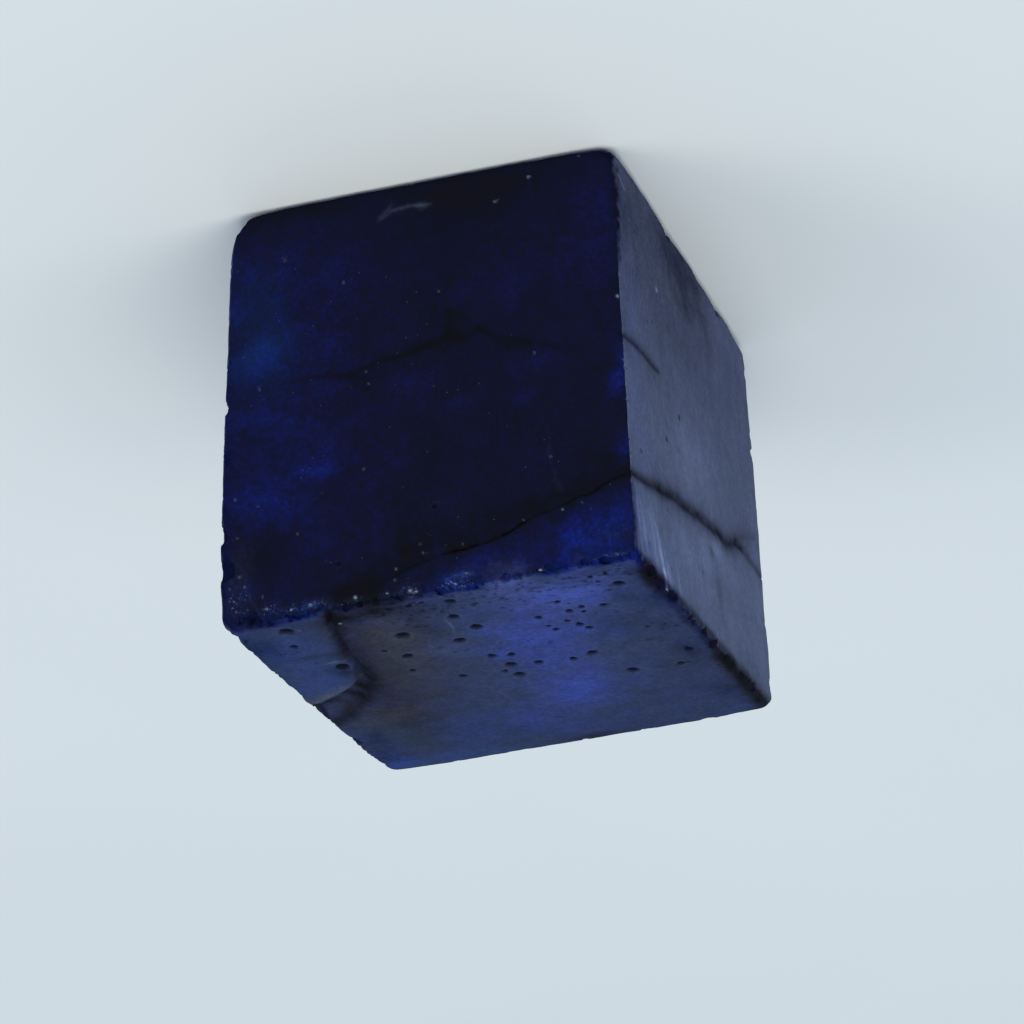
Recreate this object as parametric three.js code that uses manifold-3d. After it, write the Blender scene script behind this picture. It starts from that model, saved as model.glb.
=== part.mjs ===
// A rough sapphire: a nearly cubic block of dark blue corundum, sawn on all six sides and left
// unpolished. Its faces are flat but a degree or two out of square. Its edges are worn and chipped,
// a fracture runs right round it, and its top is pitted, with a shallow step along the fracture.
// Millimetres, +Z up, the front face to -Y. The origin is at the middle of the face it rests on.
import * as THREE from "three";
import { ConvexGeometry } from "three/addons/geometries/ConvexGeometry.js";
import { mergeVertices } from "three/addons/utils/BufferGeometryUtils.js";
import Module from "manifold-3d";

const wasm = await Module();
wasm.setup();

// ---- Driving dimensions ----

const HALF_FRONT = 8.83; // from the middle of the base out to each side face
const HALF_BACK = 9.05;
const HALF_LEFT = 7.66;
const HALF_RIGHT = 7.62;
const HEIGHT = 16.28; // at the middle of the top

const BLANK = 40; // the uncut blank, larger than the stone every way
const LIFT = 0.15; // how far a cutting tool stands clear of the face that it cuts
const SCOOP = 2.4; // a chip's radius across its edge, in depths of the chip
const LEAN = 0.32; // how far chips lean to one face of their edge, then to the other

// ---- The six sawn faces: the way each one faces, and where it crosses its own axis ----

const FACES = {
  base: sawnFace([0, 0, -1], 0),
  front: sawnFace([-0.007, -1, -0.006], HALF_FRONT),
  back: sawnFace([-0.004, 1, -0.002], HALF_BACK),
  left: sawnFace([-1, -0.028, -0.008], HALF_LEFT),
  right: sawnFace([1, -0.015, -0.022], HALF_RIGHT),
  top: sawnFace([-0.034, 0.015, 1], HEIGHT),
};

// The two axes that give a place on each face, and the axis that the face's plane then gives.
const FACE_AXES = {
  front: ["x", "z", "y"],
  back: ["x", "z", "y"],
  left: ["y", "z", "x"],
  right: ["y", "z", "x"],
  top: ["x", "y", "z"],
};

// ---- Worn edges: the two faces, the faces at its ends, and the radius at each of those ends ----

const EDGES = [
  { between: ["front", "left"], ends: ["base", "top"], radii: [0.3, 0.12], facets: 1 },
  { between: ["front", "right"], ends: ["base", "top"], radii: [0.3, 0.45], facets: 2 },
  { between: ["back", "left"], ends: ["base", "top"], radii: [0.5, 0.35], facets: 2 },
  { between: ["back", "right"], ends: ["base", "top"], radii: [0.7, 0.5], facets: 2 },
  { between: ["front", "base"], ends: ["left", "right"], radii: [0.28, 0.35], facets: 2 },
  { between: ["back", "base"], ends: ["left", "right"], radii: [0.5, 0.5], facets: 2 },
  { between: ["left", "base"], ends: ["front", "back"], radii: [0.4, 0.45], facets: 3 },
  { between: ["right", "base"], ends: ["front", "back"], radii: [1.0, 0.7], facets: 3 },
  { between: ["front", "top"], ends: ["left", "right"], radii: [0.2, 0.45], facets: 2 },
  { between: ["back", "top"], ends: ["left", "right"], radii: [0.3, 0.35], facets: 2 },
  { between: ["left", "top"], ends: ["front", "back"], radii: [0.22, 0.3], facets: 2 },
  { between: ["right", "top"], ends: ["front", "back"], radii: [0.85, 0.25], facets: 2 },
];

// Each corner is cut back along its diagonal by this much.
const CORNERS = [
  { faces: ["front", "left", "base"], cut: 0.51 },
  { faces: ["front", "right", "base"], cut: 0.7 },
  { faces: ["back", "left", "base"], cut: 0.55 },
  { faces: ["back", "right", "base"], cut: 0.6 },
  { faces: ["front", "left", "top"], cut: 0.3 },
  { faces: ["front", "right", "top"], cut: 0.8 },
  { faces: ["back", "left", "top"], cut: 0.45 },
  { faces: ["back", "right", "top"], cut: 0.5 },
];

// ---- Chips along the edges: [place along the edge, length, depth] ----

const CHIPS = [
  {
    between: ["front", "top"],
    along: "x",
    chips: [
      [-6.6, 1.6, 0.34], [-5.6, 0.8, 0.2], [-4.7, 1.5, 0.36], [-2.9, 1.1, 0.18], [-1.1, 2.0, 0.5],
      [0.1, 0.9, 0.28], [0.8, 1.2, 0.4], [2.4, 1.5, 0.42], [3.2, 0.9, 0.34], [4.5, 1.7, 0.46],
      [5.6, 1.2, 0.46], [6.5, 1.4, 0.62],
    ],
  },
  {
    between: ["left", "top"],
    along: "y",
    chips: [
      [-8.3, 1.1, 0.44], [-7.0, 2.0, 0.56], [-5.7, 1.3, 0.36], [-4.5, 1.5, 0.44], [-3.2, 1.8, 0.34],
      [-1.7, 1.2, 0.4], [-0.5, 1.7, 0.3], [0.8, 1.5, 0.48], [2.3, 1.6, 0.46], [3.6, 1.4, 0.3],
      [4.7, 1.0, 0.36], [5.9, 2.1, 0.4], [7.4, 1.3, 0.32],
    ],
  },
  {
    between: ["right", "top"],
    along: "y",
    chips: [
      [-7.6, 1.8, 0.75], [-6.1, 1.0, 0.44], [-4.9, 1.2, 0.3], [-3.6, 1.5, 0.34], [-2.2, 1.4, 0.24],
      [-1.0, 1.1, 0.28], [3.1, 1.2, 0.2], [4.5, 1.7, 0.28], [7.9, 1.1, 0.32],
    ],
  },
  {
    between: ["back", "top"],
    along: "x",
    chips: [[-5.5, 2.2, 0.3], [-2.9, 1.5, 0.24], [-0.4, 0.9, 0.18], [2.6, 1.9, 0.26], [5.0, 1.2, 0.22]],
  },
  {
    between: ["front", "left"],
    along: "z",
    chips: [
      [1.9, 0.9, 0.2], [3.6, 0.8, 0.16], [5.4, 0.7, 0.12], [7.7, 1.0, 0.2], [8.8, 0.8, 0.16],
      [11.2, 0.9, 0.15], [12.9, 1.1, 0.22], [14.6, 1.1, 0.2],
    ],
  },
  {
    between: ["front", "right"],
    along: "z",
    chips: [
      [4.4, 1.4, 0.2], [6.2, 1.0, 0.2], [7.9, 0.9, 0.3], [9.9, 1.3, 0.26], [11.5, 1.0, 0.26],
      [12.9, 1.2, 0.36], [14.2, 1.5, 0.48],
    ],
  },
  {
    between: ["back", "left"],
    along: "z",
    chips: [[1.3, 1.4, 0.4], [3.6, 1.3, 0.3], [5.0, 0.9, 0.42], [9.0, 1.6, 0.3], [14.7, 1.8, 0.42]],
  },
  {
    between: ["back", "right"],
    along: "z",
    chips: [[3.1, 1.8, 0.44], [6.9, 1.3, 0.36], [12.4, 2.1, 0.5]],
  },
  {
    between: ["left", "base"],
    along: "y",
    chips: [[4.4, 2.1, 0.5], [-2.2, 1.5, 0.4]],
  },
  {
    between: ["right", "base"],
    along: "y",
    chips: [[-3.9, 2.0, 0.52], [3.6, 1.7, 0.48]],
  },
  {
    between: ["back", "base"],
    along: "x",
    chips: [[-1.6, 2.0, 0.34], [4.2, 1.4, 0.3]],
  },
];

// ---- Pits: [place on the face, radius] ----

const PITS = {
  top: [
    [-4.3, 1.9, 0.24], [-0.35, 0.35, 0.26], [-3.45, -0.6, 0.22], [-2.65, -0.3, 0.19], [-1.4, -0.6, 0.2],
    [-0.45, -0.85, 0.23], [1.55, -0.5, 0.18], [-0.75, -1.85, 0.18], [-0.1, -2.05, 0.21],
    [-4.1, -3.1, 0.16], [-3.9, -3.55, 0.18], [-3.0, -3.5, 0.15], [0.45, -4.1, 0.26], [2.65, -3.5, 0.28],
    [-5.2, -5.0, 0.15], [-3.95, -5.0, 0.17], [-2.8, -4.9, 0.16], [-0.55, -5.05, 0.24],
    [2.1, -5.55, 0.38], [-0.15, -6.4, 0.21], [-6.25, -6.7, 0.24], [-0.55, -7.8, 0.22],
    [5.85, -6.3, 0.21], [5.55, -7.9, 0.36], [5.2, -3.5, 0.4], [-6.1, 2.1, 0.18], [-6.75, 0.8, 0.2],
  ],
  left: [[-7.5, 11.7, 0.15], [-4.1, 9.8, 0.2], [-2.2, 8.1, 0.19], [1.1, 12.2, 0.3]],
  front: [[-0.4, 13.15, 0.15], [3.15, 14.75, 0.13]],
  right: [[-3.2, 11.9, 0.28], [1.4, 5.2, 0.24], [5.8, 9.6, 0.2], [-6.0, 3.7, 0.17]],
  back: [[-3.7, 12.8, 0.22], [2.9, 4.4, 0.3], [5.1, 8.1, 0.18]],
};

// ---- Fractures, each an open groove: [place on the face, half its width, depth] ----

const FRACTURES = [
  {
    face: "front", // the main fracture climbs from the left edge to the top
    path: [
      [-7.9, 12.95, 0.1, 0.16], [-6.6, 13.2, 0.08, 0.12], [-6.0, 13.6, 0.08, 0.12], [-4.4, 14.0, 0.07, 0.12],
      [-3.0, 14.6, 0.08, 0.14], [-1.6, 14.85, 0.08, 0.14], [-0.2, 15.15, 0.08, 0.12],
      [1.2, 15.6, 0.08, 0.12], [2.6, 16.1, 0.1, 0.14], [3.4, 16.7, 0.12, 0.2],
    ],
  },
  {
    face: "left", // and falls away towards the back
    path: [
      [-9.2, 13.15, 0.14, 0.18], [-7.0, 12.75, 0.16, 0.2], [-5.3, 12.3, 0.24, 0.26], [-3.3, 11.8, 0.18, 0.24],
      [-1.2, 11.65, 0.22, 0.26], [1.0, 11.25, 0.16, 0.22], [2.8, 11.15, 0.14, 0.18],
      [4.8, 10.55, 0.16, 0.18], [7.5, 10.35, 0.12, 0.14], [9.3, 10.5, 0.12, 0.14],
    ],
  },
  { face: "left", path: [[4.3, 10.5, 0.12, 0.12], [6.0, 9.6, 0.14, 0.14], [8.0, 8.9, 0.08, 0.08]] },
  { face: "left", path: [[-9.2, 7.8, 0.1, 0.14], [-6.6, 7.55, 0.07, 0.1], [-5.0, 7.45, 0.04, 0.05]] },
  {
    face: "right", // the far side of the main fracture
    path: [
      [1.5, 16.8, 0.2, 0.3], [3.4, 15.75, 0.16, 0.22], [5.3, 15.4, 0.12, 0.16], [7.2, 14.9, 0.14, 0.16],
      [9.3, 14.5, 0.14, 0.16],
    ],
  },
  {
    face: "back",
    path: [
      [8.0, 14.6, 0.14, 0.16], [5.2, 13.7, 0.1, 0.14], [2.4, 13.2, 0.13, 0.16], [-0.8, 12.1, 0.1, 0.12],
      [-4.0, 11.6, 0.14, 0.18], [-8.0, 10.5, 0.12, 0.14],
    ],
  },
];

// The top's step: the fracture opens into a shallow valley. Its floor lies close under the front
// rim and rises gently to the back: [x, y, width to the back, width to the front, depth].
const STEP = [
  [8.1, 0.45, 1.9, 0.6, 0.42],
  [7.1, 0.05, 1.75, 0.5, 0.42],
  [6.2, -0.55, 1.35, 0.4, 0.4],
  [5.5, -1.15, 0.85, 0.34, 0.38],
  [4.95, -2.0, 0.34, 0.26, 0.34],
  [4.62, -3.4, 0.2, 0.18, 0.24],
  [4.5, -4.7, 0.22, 0.22, 0.26],
  [4.3, -6.0, 0.16, 0.16, 0.2],
  [4.0, -7.3, 0.17, 0.17, 0.2],
  [3.5, -9.3, 0.2, 0.2, 0.24],
];

/** One flat face's plane, from the way it faces and its distance along its own axis. */
function sawnFace(facing, distance) {
  const normal = new THREE.Vector3(...facing);
  const length = normal.length();
  return new THREE.Plane(normal.divideScalar(length), -distance / length);
}

/** The one point that lies on three planes. */
function meetingPoint(p, q, r) {
  const qr = new THREE.Vector3().crossVectors(q.normal, r.normal);
  const rp = new THREE.Vector3().crossVectors(r.normal, p.normal);
  const pq = new THREE.Vector3().crossVectors(p.normal, q.normal);
  const point = new THREE.Vector3()
    .addScaledVector(qr, -p.constant)
    .addScaledVector(rp, -q.constant)
    .addScaledVector(pq, -r.constant);
  return point.divideScalar(p.normal.dot(qr));
}

/** The point where three faces would meet if nothing were worn away. */
function cornerOf(...names) {
  return meetingPoint(...names.map((name) => FACES[name]));
}

/** The point on a face at two of its coordinates. */
function onFace(name, first, second) {
  const [u, v, w] = FACE_AXES[name];
  const { normal, constant } = FACES[name];
  const point = new THREE.Vector3();
  point[u] = first;
  point[v] = second;
  point[w] = -(constant + normal[u] * first + normal[v] * second) / normal[w];
  return point;
}

/** A closed three.js geometry as a solid that can be joined and cut. */
function asSolid(geometry) {
  const bare = geometry.clone();
  bare.deleteAttribute("normal");
  bare.deleteAttribute("uv");
  const merged = mergeVertices(bare, 1e-5);
  return new wasm.Manifold(
    new wasm.Mesh({
      numProp: 3,
      vertProperties: new Float32Array(merged.attributes.position.array),
      triVerts: new Uint32Array(merged.index.array),
    }),
  );
}

/** Grinds away everything beyond a plane. */
function grind(stone, plane) {
  const waste = new THREE.BoxGeometry(2 * BLANK, 2 * BLANK, 2 * BLANK).translate(0, 0, BLANK);
  const turn = new THREE.Quaternion().setFromUnitVectors(new THREE.Vector3(0, 0, 1), plane.normal);
  waste.applyQuaternion(turn);
  const foot = plane.normal.clone().multiplyScalar(-plane.constant);
  return stone.subtract(asSolid(waste.translate(foot.x, foot.y, foot.z)));
}

/** Wears one edge round, to a radius that changes evenly from end to end. */
function wearEdge(stone, { between, ends, radii, facets }) {
  const [a, b] = between.map((name) => FACES[name].normal);
  const centres = ends.map((end, i) => {
    const inward = new THREE.Vector3().addVectors(a, b).multiplyScalar(-radii[i] / (1 + a.dot(b)));
    return cornerOf(...between, end).add(inward);
  });
  let worn = stone;
  for (let k = 1; k <= facets; k += 1) {
    const angle = (Math.PI / 2) * (k / (facets + 1));
    const facing = a.clone().multiplyScalar(Math.cos(angle)).addScaledVector(b, Math.sin(angle)).normalize();
    const [start, end] = centres.map((centre, i) => centre.clone().addScaledVector(facing, radii[i]));
    const run = new THREE.Vector3().subVectors(end, start).normalize();
    facing.addScaledVector(run, -facing.dot(run)).normalize();
    worn = grind(worn, new THREE.Plane().setFromNormalAndCoplanarPoint(facing, start));
  }
  return worn;
}

/** Cuts one corner back along its diagonal. */
function wearCorner(stone, { faces, cut }) {
  const facing = new THREE.Vector3();
  faces.forEach((name) => facing.add(FACES[name].normal));
  facing.normalize();
  const point = cornerOf(...faces).addScaledVector(facing, -cut);
  return grind(stone, new THREE.Plane().setFromNormalAndCoplanarPoint(facing, point));
}

/** The point on the edge between two faces at a given x, y or z. */
function onEdge(between, along, place) {
  const [a, b] = between.map((name) => FACES[name]);
  const run = new THREE.Vector3().crossVectors(a.normal, b.normal).normalize();
  const third = new THREE.Plane(new THREE.Vector3(), -place);
  third.normal[along] = 1;
  return { point: meetingPoint(a, b, third), run };
}

/** A faceted scoop: long along an edge, and round across it. */
function chipTool(between, along, [place, length, depth], index) {
  const { point, run } = onEdge(between, along, place);
  const [a, b] = between.map((name) => FACES[name].normal);
  const share = 0.5 + LEAN * Math.sin(2.4 * index);
  const out = a.clone().multiplyScalar(share).addScaledVector(b, 1 - share).normalize();
  const side = new THREE.Vector3().crossVectors(run, out).normalize();
  const radius = SCOOP * depth;
  const tool = new THREE.IcosahedronGeometry(1, 1).rotateX(index).rotateZ(1.7 * index);
  tool.applyMatrix4(new THREE.Matrix4().makeScale(length / 2, radius, radius));
  tool.applyMatrix4(new THREE.Matrix4().makeBasis(run, side, new THREE.Vector3().crossVectors(run, side)));
  const centre = point.addScaledVector(out, radius - depth);
  return tool.translate(centre.x, centre.y, centre.z);
}

/** A small round pit, a little less than half a ball deep. */
function pitTool(face, [first, second, radius], index) {
  const centre = onFace(face, first, second).addScaledVector(FACES[face].normal, 0.3 * radius);
  const ball = new THREE.IcosahedronGeometry(radius, 1).rotateX(index).rotateY(2 * index);
  return ball.translate(centre.x, centre.y, centre.z);
}

/**
 * A V-shaped groove along stations on a face, joined from one wedge for each pair of stations. A
 * station is [place on the face, width to the right of the run, width to its left, depth].
 */
function grooveTool(face, stations) {
  const { normal } = FACES[face];
  const points = stations.map(([first, second]) => onFace(face, first, second));
  const sections = stations.map(([, , rightWidth, leftWidth, depth], i) => {
    const before = points[Math.max(i - 1, 0)];
    const after = points[Math.min(i + 1, points.length - 1)];
    const run = new THREE.Vector3().subVectors(after, before).normalize();
    const side = new THREE.Vector3().crossVectors(run, normal).normalize();
    const spread = (depth + LIFT) / depth;
    const right = points[i].clone().addScaledVector(side, rightWidth * spread).addScaledVector(normal, LIFT);
    const left = points[i].clone().addScaledVector(side, -leftWidth * spread).addScaledVector(normal, LIFT);
    return [right, left, points[i].clone().addScaledVector(normal, -depth)];
  });
  const wedges = sections.slice(1).map((section, i) => new ConvexGeometry([...sections[i], ...section]));
  return wedges.map(asSolid).reduce((groove, wedge) => groove.add(wedge));
}

/** The whole stone: sawn, worn, chipped, pitted and cracked. */
function sapphire() {
  let stone = asSolid(new THREE.BoxGeometry(BLANK, BLANK, BLANK));
  for (const plane of Object.values(FACES)) stone = grind(stone, plane);
  for (const edge of EDGES) stone = wearEdge(stone, edge);
  for (const corner of CORNERS) stone = wearCorner(stone, corner);
  const tools = [grooveTool("top", STEP)];
  for (const { face, path } of FRACTURES) {
    tools.push(grooveTool(face, path.map(([u, v, half, depth]) => [u, v, half, half, depth])));
  }
  for (const { between, along, chips } of CHIPS) {
    chips.forEach((chip, i) => tools.push(asSolid(chipTool(between, along, chip, i))));
  }
  for (const [face, pits] of Object.entries(PITS)) {
    pits.forEach((pit, i) => tools.push(asSolid(pitTool(face, pit, i))));
  }
  for (const tool of tools) stone = stone.subtract(tool);
  return stone;
}

/** A solid as a three.js geometry. */
function asGeometry(solid) {
  const { vertProperties, triVerts } = solid.getMesh();
  const geometry = new THREE.BufferGeometry();
  geometry.setAttribute("position", new THREE.BufferAttribute(vertProperties, 3));
  geometry.setIndex(new THREE.BufferAttribute(triVerts, 1));
  geometry.computeVertexNormals();
  return geometry;
}

const corundum = new THREE.MeshStandardMaterial({ color: 0x1c2550, roughness: 0.6, metalness: 0 });
const block = new THREE.Mesh(asGeometry(sapphire()), corundum);
block.name = "rough_sapphire";

const part = new THREE.Group();
part.add(block);

export default part;
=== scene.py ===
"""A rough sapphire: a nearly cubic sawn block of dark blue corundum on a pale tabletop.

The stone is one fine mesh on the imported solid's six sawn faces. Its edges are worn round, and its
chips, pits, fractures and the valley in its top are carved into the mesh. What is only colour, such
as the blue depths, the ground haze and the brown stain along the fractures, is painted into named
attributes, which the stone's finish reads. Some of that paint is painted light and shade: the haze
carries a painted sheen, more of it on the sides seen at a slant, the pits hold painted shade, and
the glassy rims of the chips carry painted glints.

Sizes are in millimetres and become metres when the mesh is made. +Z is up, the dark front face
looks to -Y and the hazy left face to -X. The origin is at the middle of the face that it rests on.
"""

import logging
import math
from abc import ABC, abstractmethod
from collections.abc import Iterable, Iterator, Sequence
from dataclasses import dataclass, field
from enum import Enum

import bmesh
import bpy
import numpy as np
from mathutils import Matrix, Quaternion, Vector, noise


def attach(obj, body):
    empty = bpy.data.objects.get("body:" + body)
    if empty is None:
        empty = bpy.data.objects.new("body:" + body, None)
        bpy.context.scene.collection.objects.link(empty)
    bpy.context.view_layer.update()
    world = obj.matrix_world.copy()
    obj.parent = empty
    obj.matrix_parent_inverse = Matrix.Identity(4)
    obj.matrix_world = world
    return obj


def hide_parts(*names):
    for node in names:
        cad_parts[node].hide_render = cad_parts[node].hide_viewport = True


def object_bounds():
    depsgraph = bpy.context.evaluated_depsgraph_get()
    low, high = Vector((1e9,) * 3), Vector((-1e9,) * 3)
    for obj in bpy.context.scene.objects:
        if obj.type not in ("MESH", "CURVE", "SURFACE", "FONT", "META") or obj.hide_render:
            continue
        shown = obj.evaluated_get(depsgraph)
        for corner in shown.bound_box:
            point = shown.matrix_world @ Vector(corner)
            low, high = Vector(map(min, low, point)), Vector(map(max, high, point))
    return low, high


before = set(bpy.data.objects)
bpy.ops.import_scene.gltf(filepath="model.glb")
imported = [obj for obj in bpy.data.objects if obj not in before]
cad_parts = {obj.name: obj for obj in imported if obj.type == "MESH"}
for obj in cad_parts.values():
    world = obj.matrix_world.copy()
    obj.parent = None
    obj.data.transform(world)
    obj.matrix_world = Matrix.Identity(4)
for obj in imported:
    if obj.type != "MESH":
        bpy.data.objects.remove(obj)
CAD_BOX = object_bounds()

log = logging.getLogger("sapphire")

MM = 0.001
STONE_NODE = "rough_sapphire"

FINE = 0.06  # how close together the mesh's points are where it is finest
MIDDLING = 0.115  # where it is fairly fine
COARSE = 0.23  # and on the rest of the sides that face the camera

Pair = tuple[float, float]
Triple = tuple[float, float, float]
Places = Sequence[Sequence[float]]


# ---- The sawn block ----


class Side(Enum):
    """The six sawn sides, each by the way it faces."""

    FRONT = (0, -1, 0)
    BACK = (0, 1, 0)
    LEFT = (-1, 0, 0)
    RIGHT = (1, 0, 0)
    TOP = (0, 0, 1)
    BASE = (0, 0, -1)

    @property
    def axis(self) -> int:
        """The axis that this side faces along: 0, 1 or 2."""
        return next(i for i, part in enumerate(self.value) if part)

    @property
    def map_axes(self) -> list[int]:
        """The two axes that give a place on this side."""
        return [i for i in range(3) if i != self.axis]


FRONT, BACK, LEFT, RIGHT, TOP, BASE = Side


@dataclass(frozen=True)
class SawnFace:
    """One flat sawn face.

    Args:
        facing: The way it faces, not yet of unit length.
        across: Where it crosses its own axis, in millimetres from the origin.
    """

    facing: Triple
    across: float

    @property
    def normal(self) -> np.ndarray:
        """The unit vector out of the stone."""
        return np.array(self.facing) / np.linalg.norm(self.facing)

    @property
    def distance(self) -> float:
        """How far the face's plane lies from the origin."""
        return self.across / float(np.linalg.norm(self.facing))

    def above(self, points: np.ndarray) -> np.ndarray:
        """How far points stand outside the face, negative inside the stone."""
        return points @ self.normal - self.distance


@dataclass(frozen=True)
class WornEdge:
    """One edge of the block, worn round.

    Args:
        between: The two sides that meet there.
        ends: The sides at its two ends.
        radii: The radius at each of those ends.
        band: How far on each side of it the mesh is fine.
        spacing: How close together the mesh's points are there.
    """

    between: tuple[Side, Side]
    ends: tuple[Side, Side]
    radii: Pair
    band: float
    spacing: float


@dataclass(frozen=True)
class WornCorner:
    """One corner of the block, worn rounder than its edges.

    Args:
        sides: The three sides that meet there.
        radius: Its radius.
    """

    sides: tuple[Side, Side, Side]
    radius: float


@dataclass
class Block:
    """The stone as the saw and wear left it, before anything was chipped out of it.

    Args:
        faces: The six sawn faces.
        edges: The twelve worn edges.
        corners: The eight worn corners.
        corner_reach: How far from a corner its own radius still tells.
        unevenness: How much the radii vary along the edges, as a share.
        blend: How far apart two edges are, squared, where their radii blend into each other.
    """

    faces: dict[Side, SawnFace]
    edges: Sequence[WornEdge]
    corners: Sequence[WornCorner]
    corner_reach: float = 1.3
    unevenness: float = 0.3
    blend: float = 0.05

    def corner(self, *sides: Side) -> np.ndarray:
        """The point where three sides would meet if nothing were worn away."""
        normals = np.array([self.faces[side].normal for side in sides])
        return np.linalg.solve(normals, np.array([self.faces[side].distance for side in sides]))

    def edge(self, *sides: Side) -> WornEdge:
        """The edge between two sides."""
        return next(edge for edge in self.edges if set(edge.between) == set(sides))

    def edge_ends(self, edge: WornEdge) -> tuple[np.ndarray, np.ndarray]:
        """The two ends of an edge, before wear."""
        start, end = (self.corner(*edge.between, side) for side in edge.ends)
        return start, end

    def beside(self, edge: WornEdge, points: np.ndarray) -> tuple[np.ndarray, np.ndarray]:
        """How far points are from an edge, and how far along it they are.

        Args:
            edge: The edge.
            points: An array of n points.

        Returns:
            The n distances, and the n shares of the edge's length from its start.
        """
        start, end = self.edge_ends(edge)
        run = end - start
        share = np.clip((points - start) @ run / (run @ run), 0, 1)
        return np.linalg.norm(points - start - share[:, None] * run, axis=1), share

    def wear_radius(self, points: np.ndarray) -> np.ndarray:
        """The radius that wear gives the stone.

        Args:
            points: An array of n points on the sharp block.

        Returns:
            The n radii near them.
        """
        total, weights = np.zeros(len(points)), np.zeros(len(points))
        for edge in self.edges:
            distance, share = self.beside(edge, points)
            weight = (distance**2 + self.blend) ** -2
            total += weight * (edge.radii[0] * (1 - share) + edge.radii[1] * share)
            weights += weight
        radius = total / weights
        for corner in self.corners:
            away = np.linalg.norm(points - self.corner(*corner.sides), axis=1)
            radius += (corner.radius - radius) * np.exp(-((away / self.corner_reach) ** 2))
        return radius * (1 + self.unevenness * grain(points, 0.7, 4.0, 3))

    def wear(self, points: np.ndarray) -> np.ndarray:
        """Moves points of the sharp block onto the worn one.

        Args:
            points: An array of n points on the sharp block.

        Returns:
            The n moved points.
        """
        radius = self.wear_radius(points)
        normals = np.array([face.normal for face in self.faces.values()])
        above = np.stack([face.above(points) for face in self.faces.values()], axis=1)
        reach = np.maximum(above + radius[:, None], 0)
        over = np.maximum(1 - radius / np.linalg.norm(reach, axis=1), 0)
        return points - (reach * over[:, None]) @ normals

    def side_of(self, points: np.ndarray) -> np.ndarray:
        """The place in faces of the side that each point lies on."""
        above = np.stack([face.above(points) for face in self.faces.values()], axis=1)
        return np.argmax(above, axis=1)


def grain(points: np.ndarray, per_mm: float, seed: float, octaves: int = 3) -> np.ndarray:
    """Smooth uneven values, the same on every run.

    Args:
        points: An array of n points.
        per_mm: How many waves there are to a millimetre.
        seed: A number that sets this pattern apart from others.
        octaves: How many finer patterns are added.

    Returns:
        The n values, most of them between -1 and 1.
    """
    shift = Vector((17.3 * seed, -9.1 * seed, 5.7 * seed))
    spots = (Vector(point) + shift for point in (points * per_mm).tolist())
    return np.array([noise.fractal(spot, 1.0, 2.0, octaves) for spot in spots])


def rise(low: float, high: float, value: np.ndarray) -> np.ndarray:
    """0 below low, 1 above high, and a smooth rise between them."""
    share = np.clip((value - low) / (high - low), 0, 1)
    return share * share * (3 - 2 * share)


# ---- The skin that the marks are worked into ----


class Paint(Enum):
    """The attributes that the stone's finish reads."""

    BLUE = "blue_depth"
    # the frosted ground surface, with a painted sheen: more of it on the sides seen at a slant
    HAZE = "ground_haze"
    STEEL = "steel_tone"
    WARM = "warm_tone"
    STAIN = "fracture_stain"
    CRACK = "crack_core"
    SCAR = "chip_scar"
    # glassy chipped rims, with a glossy coat and painted highlights (sparks)
    GLINT = "glassy_glint"
    # painted shade inside the pits and pores
    PIT = "pit_shade"
    # dust, and painted glints: the bright specks on the chipped rim between the front and the top
    DUST = "dust"

    @property
    def most(self) -> float:
        """The most of it that a place can have."""
        return 4.0 if self in (BLUE, HAZE) else 1.0


BLUE, HAZE, STEEL, WARM, STAIN, CRACK, SCAR, GLINT, PIT, DUST = Paint


@dataclass
class Skin:
    """The stone's surface while it is worked.

    Args:
        block: The block that it lies on.
        home: The points on the sharp block, which stay where they are.
        wave: How far out of flat the saw left the faces.
    """

    block: Block
    home: np.ndarray
    wave: float = 0.02
    points: np.ndarray = field(init=False)
    side: np.ndarray = field(init=False)
    warp: np.ndarray = field(init=False)
    paint: dict[Paint, np.ndarray] = field(init=False)

    def __post_init__(self) -> None:
        """Wears the block's edges, and starts with a little unevenness and no paint."""
        self.side = self.block.side_of(self.home)
        self.warp = np.stack([grain(self.home, 0.7, seed, 5) for seed in (1.0, 2.0, 3.0)], axis=1)
        self.points = self.block.wear(self.home)
        normals = np.array([face.normal for face in self.block.faces.values()])[self.side]
        self.points -= self.wave * (1 + grain(self.home, 0.35, 6.0, 3))[:, None] * normals
        self.paint = {paint: np.zeros(len(self.home)) for paint in Paint}

    def on_side(self, side: Side) -> np.ndarray:
        """True for each point that lies on a side."""
        return self.side == list(self.block.faces).index(side)

    def places(self, side: Side, ragged: float | Sequence[float] = 0.0) -> np.ndarray:
        """Each point's place along a side's two map axes.

        Args:
            side: The side.
            ragged: How far the places stray, so that what is drawn with them looks natural.

        Returns:
            An array of n places.
        """
        axes = side.map_axes
        return self.home[:, axes] + np.array(ragged) * self.warp[:, axes]

    def sink(self, where: np.ndarray, side: Side, depth: np.ndarray) -> None:
        """Moves some of the points straight into a side."""
        self.points[where] -= depth[:, None] * self.block.faces[side].normal

    def add(self, paint: Paint, where: np.ndarray, amount: np.ndarray) -> None:
        """Adds paint to some of the points."""
        self.paint[paint][where] += amount


class Mark(ABC):
    """Something cut into the stone or painted on it, on one side."""

    side: Side

    def spacing(self, places: np.ndarray) -> np.ndarray | float:
        """How close together the mesh's points must be for this mark.

        Args:
            places: An array of n places on the mark's side.

        Returns:
            The n distances, infinite where the mark isn't.
        """
        return np.inf

    @abstractmethod
    def work(self, skin: Skin) -> None:
        """Cuts or paints the mark.

        Args:
            skin: The stone's surface.
        """


@dataclass(frozen=True)
class EdgeMark(Mark):
    """A mark on an edge.

    Args:
        between: The two sides that meet at the edge.
    """

    between: tuple[Side, Side]

    @property
    def side(self) -> Side:
        """The second of the two sides."""
        return self.between[1]


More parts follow.
